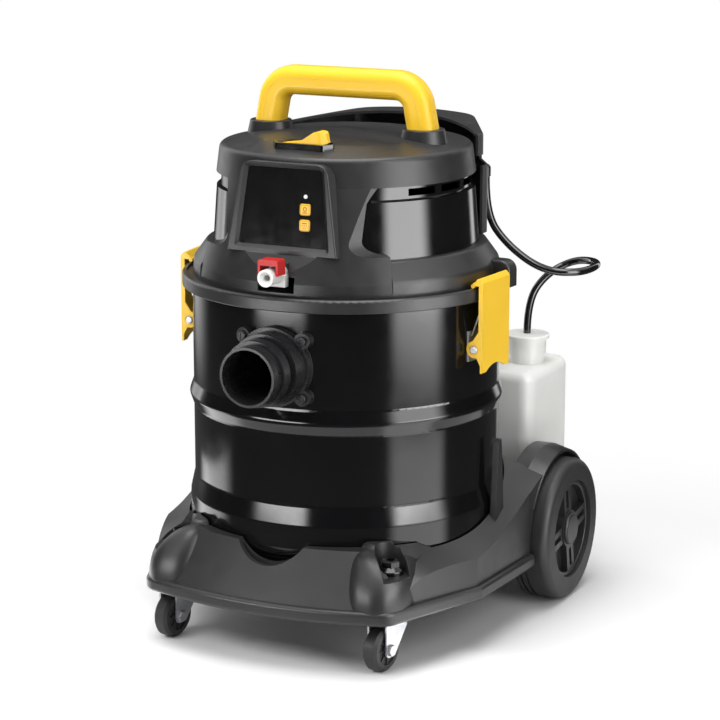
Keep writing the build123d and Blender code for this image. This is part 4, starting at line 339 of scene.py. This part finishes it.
def tube(name, points, diameter):
    curve = bpy.data.curves.new(name, "CURVE")
    curve.dimensions = "3D"
    curve.bevel_depth = diameter / 2
    curve.bevel_resolution = 8
    curve.resolution_u = 24
    curve.use_fill_caps = True
    spline = curve.splines.new("NURBS")
    spline.points.add(len(points) - 1)
    for point, place in zip(spline.points, points):
        point.co = (*place, 1)
    spline.order_u = 3
    spline.use_endpoint_u = True
    return scene_object(name, curve)


hose = tube("hose", HOSE_POINTS, HOSE_DIAMETER)
paint(hose, hose_finish)
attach(hose, "machine")
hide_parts("solution_hose")


# Front lobes of the base

def blunt(value):
    return abs(value) ** LOBE_BLUNTNESS * (1 if value > 0 else -1)


def lobe_ring(z, middle, half, nose, side):
    """Blunt oval at one height; its back is buried in the base."""
    deep = LOBE_BACK - nose
    ring = [(side * (middle + half * blunt(cos(t))), LOBE_BACK + deep * blunt(sin(t)), z) for t in turns(96)]
    return ring[::side]


def slot_ring(z, radius, side):
    """Outline of the slot round a lobe screw, open to the outside."""
    ahead = Vector((cos(radians(SLOT_TURN)), sin(radians(SLOT_TURN))))
    aside = Vector((-ahead.y, ahead.x))
    ring = []
    for turn in turns(64, 0.5):
        reach = radius * cos(turn) + (SLOT_LENGTH if cos(turn) > 0 else 0.0)
        place = Vector(SCREW_PLACE) + reach * ahead + radius * sin(turn) * aside
        ring.append((side * place.x, place.y, z))
    return ring[::side]


def drum_ring(z, radius):
    x, y = DRUM_MIDDLE
    return [(x + radius * cos(t), y + radius * sin(t), z) for t in turns(192)]


def stack(name, rings):
    """Closed skin over a stack of rings."""
    count = len(rings[0])
    verts = [point for ring in rings for point in ring]
    faces = [tuple(reversed(range(count))), tuple(range(len(verts) - count, len(verts)))]
    for low in range(0, len(verts) - count, count):
        high = low + count
        for i in range(count):
            after = (i + 1) % count
            faces.append((low + i, low + after, high + after, high + i))
    return mesh_object(name, verts, faces)


def make_lobe(name, side):
    skin = stack(name, [lobe_ring(*row, side) for row in LOBE_SECTIONS])
    cutters = [
        stack("seat", [slot_ring(*row, side) for row in SLOT_WALLS]),
        stack("drum", [drum_ring(*row) for row in DRUM_ROOM]),
    ]
    for cutter in cutters:
        cut = skin.modifiers.new(cutter.name, "BOOLEAN")
        cut.operation = "DIFFERENCE"
        cut.object = cutter
    soft = skin.modifiers.new("soft edges", "BEVEL")
    soft.width = LOBE_EDGE
    soft.segments = 3
    soft.angle_limit = radians(LOBE_EDGE_ANGLE)
    mesh = bpy.data.meshes.new_from_object(skin.evaluated_get(bpy.context.evaluated_depsgraph_get()))
    skin.modifiers.clear()
    skin.data = mesh
    for cutter in cutters:
        bpy.data.objects.remove(cutter)
    mesh.polygons.foreach_set("use_smooth", [True] * len(mesh.polygons))
    mesh.set_sharp_from_angle(angle=radians(LOBE_EDGE_ANGLE))
    paint(skin, charcoal)
    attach(skin, "machine")


make_lobe("lobe_skin_right", 1)
make_lobe("lobe_skin_left", -1)


# Stage, light and camera

def seen_ray(tree):
    """1 for camera, glossy and transmission rays."""
    path = add(tree, "ShaderNodeLightPath").outputs
    seen = maths(tree, "MAXIMUM", path["Is Camera Ray"], path["Is Glossy Ray"])
    return maths(tree, "MAXIMUM", seen, path["Is Transmission Ray"])


def mix_shaders(tree, share, first, second, output):
    mix = add(tree, "ShaderNodeMixShader")
    tree.links.new(share, mix.inputs["Fac"])
    tree.links.new(first.outputs[0], mix.inputs[1])
    tree.links.new(second.outputs[0], mix.inputs[2])
    tree.links.new(mix.outputs[0], output.inputs["Surface"])


def only_reflected(obj):
    """Stage piece that nothing but a reflection sees."""
    obj.visible_camera = False
    obj.visible_diffuse = False
    obj.visible_shadow = False
    obj.visible_transmission = False


def flat(name, corners):
    return mesh_object(name, [(x, y, 0) for x, y in corners], [(0, 1, 2, 3)])


def rectangle(name, w, h):
    return flat(name, [(-w, -h), (w, -h), (w, h), (-w, h)])


def make_floor():
    """Pale floor that keeps the shadow near the object and goes white further off."""
    obj = rectangle("floor", FLOOR_HALF, FLOOR_HALF)
    material, tree, bsdf = shader("pale floor")
    bsdf.inputs["Base Color"].default_value = (0.90, 0.90, 0.90, 1)
    bsdf.inputs["Roughness"].default_value = 0.7
    bsdf.inputs["Specular IOR Level"].default_value = 0.2
    away = add(tree, "ShaderNodeVectorMath", operation="LENGTH")
    tree.links.new(coordinates(tree, "Object"), away.inputs[0])
    fade = ramp(tree, away.outputs["Value"], FLOOR_FADE, (0.0, 1.0), "SMOOTHSTEP")
    share = maths(tree, "MULTIPLY", fade, seen_ray(tree))
    mix_shaders(tree, share, bsdf, add(tree, "ShaderNodeEmission"), tree.nodes["Material Output"])
    paint(obj, material)


def make_cards():
    """Dark studio cards round the set that only reflections see."""
    steps = 48
    edges = len(CARD_EDGES)
    verts = [(r * cos(turn), r * sin(turn), z) for turn in turns(steps) for r, z in CARD_EDGES]
    faces = []
    for here in range(0, len(verts), edges):
        after = (here + edges) % len(verts)
        faces += [(here + k, after + k, after + k + 1, here + k + 1) for k in range(edges - 1)]
    obj = mesh_object("cards", verts, faces)
    material, _, bsdf = shader("dark card")
    bsdf.inputs["Base Color"].default_value = (0.03, 0.03, 0.03, 1)
    bsdf.inputs["Roughness"].default_value = 0.9
    paint(obj, material)
    only_reflected(obj)


def background(tree, strength):
    node = add(tree, "ShaderNodeBackground")
    node.inputs["Color"].default_value = (1, 1, 1, 1)
    node.inputs["Strength"].default_value = strength
    return node


def make_world():
    """Weak even light that looks white where it is seen."""
    world = bpy.data.worlds.new("studio")
    bpy.context.scene.world = world
    world.use_nodes = True
    tree = world.node_tree
    tree.nodes.clear()
    output = add(tree, "ShaderNodeOutputWorld")
    mix_shaders(tree, seen_ray(tree), background(tree, WORLD_LIGHT), background(tree, 1.0), output)


def lamp(name, size, place, watts, aim=LAMP_AIM, mirrored=True):
    """Soft lamp; one that isn't mirrored leaves no reflection."""
    light = bpy.data.lights.new(name, "AREA")
    light.shape = "RECTANGLE"
    light.size, light.size_y = size
    light.energy = watts
    obj = scene_object(name, light)
    point_at(obj, place, aim)
    obj.visible_camera = False
    obj.visible_glossy = mirrored


def glow(name, level):
    """Emission over nothing, with the coordinates that its share is worked out from."""
    material = bpy.data.materials.new(name)
    material.use_nodes = True
    tree = material.node_tree
    tree.nodes.clear()
    light = add(tree, "ShaderNodeEmission")
    light.inputs["Strength"].default_value = level
    face = split(tree, coordinates(tree, "Object"))
    return material, tree, light, face["X"], face["Y"]


def show_glow(tree, light, share):
    nothing = add(tree, "ShaderNodeBsdfTransparent")
    mix_shaders(tree, share, nothing, light, add(tree, "ShaderNodeOutputMaterial"))


def fade_out(tree, value, full, none):
    return ramp(tree, maths(tree, "ABSOLUTE", value), (full, none), (1.0, 0.0), "SMOOTHSTEP")


def softbox(name, half, soft, place, aim, level):
    """Bright card with feathered edges, seen in reflections alone."""
    w, h = half
    obj = rectangle(name, w, h)
    material, tree, light, x, y = glow(name, level)
    across = fade_out(tree, x, w - soft[0], w)
    up = fade_out(tree, y, h - soft[1], h)
    show_glow(tree, light, maths(tree, "MULTIPLY", across, up))
    paint(obj, material)
    point_at(obj, place, aim)
    only_reflected(obj)


def floor_glow(name, apex, turn, slope, reach, level):
    """Wedge of lit floor that carries a softbox's reflection down to the foot of a wall."""
    near, far = reach
    wide = 1.2 * slope[1]
    obj = flat(name, [(near, -wide * near), (far, -wide * far), (far, wide * far), (near, wide * near)])
    material, tree, light, x, y = glow(name, level)
    show_glow(tree, light, fade_out(tree, maths(tree, "DIVIDE", y, x), *slope))
    paint(obj, material)
    obj.location = (*apex, FLOOR_GLOW_Z)
    obj.rotation_euler = (0, 0, radians(turn))
    only_reflected(obj)


def make_lamps():
    lamp("key", size=(0.8, 1.3), place=(1.5, -0.6, 0.9), watts=10, aim=(0, -0.04, 0.5), mirrored=False)
    lamp("overhead", size=(2.2, 2.2), place=(0.1, -0.3, 3.0), watts=72)
    lamp("rim", size=(0.8, 2.0), place=(-2.4, 0.9, 0.9), watts=20)
    lamp("front", size=(1.5, 0.8), place=(-0.8, -1.6, 1.6), watts=26, mirrored=False)


def make_reflections():
    """Long soft highlights down both sides of the drum and the waist, as in the photograph."""
    softbox("right card", half=(0.48, 0.70), soft=(0.24, 0.20), level=5.4,
            place=(1.05, -0.33, 0.70), aim=(0, -0.33, 0.70))
    softbox("right low card", half=(0.36, 0.06), soft=(0.16, 0.04), level=13.0,
            place=(0.90, -0.29, 0.285), aim=(0, -0.29, 0.285))
    floor_glow("right floor", apex=(0.070, -0.139), turn=-9.0, level=2.8,
               slope=(0.30, 0.50), reach=(0.10, 1.0))
    softbox("left card", half=(0.45, 0.70), soft=(0.40, 0.20), level=1.2,
            place=(-1.0, 0.35, 0.70), aim=(0, 0.35, 0.70))
    floor_glow("left floor", apex=(-0.054, -0.203), turn=176.0, level=3.2,
               slope=(0.20, 0.50), reach=(0.10, 0.75))
    softbox("front card", half=(0.36, 0.11), soft=(0.14, 0.06), level=12.0,
            place=(-0.29, -0.905, 0.31), aim=(0, -0.2, 0.31))
    softbox("back card", half=(0.20, 0.70), soft=(0.15, 0.20), level=1.7,
            place=(0.42, 1.45, 0.70), aim=(0.15, -0.04, 0.70))


def make_camera():
    lens = bpy.data.cameras.new("camera")
    lens.lens = CAMERA_LENS
    lens.sensor_width = CAMERA_SENSOR
    lens.sensor_fit = "HORIZONTAL"
    camera = scene_object("camera", lens)
    camera.location = CAMERA_PLACE
    camera.rotation_euler = (radians(90 - CAMERA_PITCH), 0, radians(CAMERA_TURN))
    bpy.context.scene.camera = camera


make_floor()
make_cards()
make_world()
make_lamps()
make_reflections()
make_camera()
bpy.context.scene.view_settings.view_transform = "Standard"
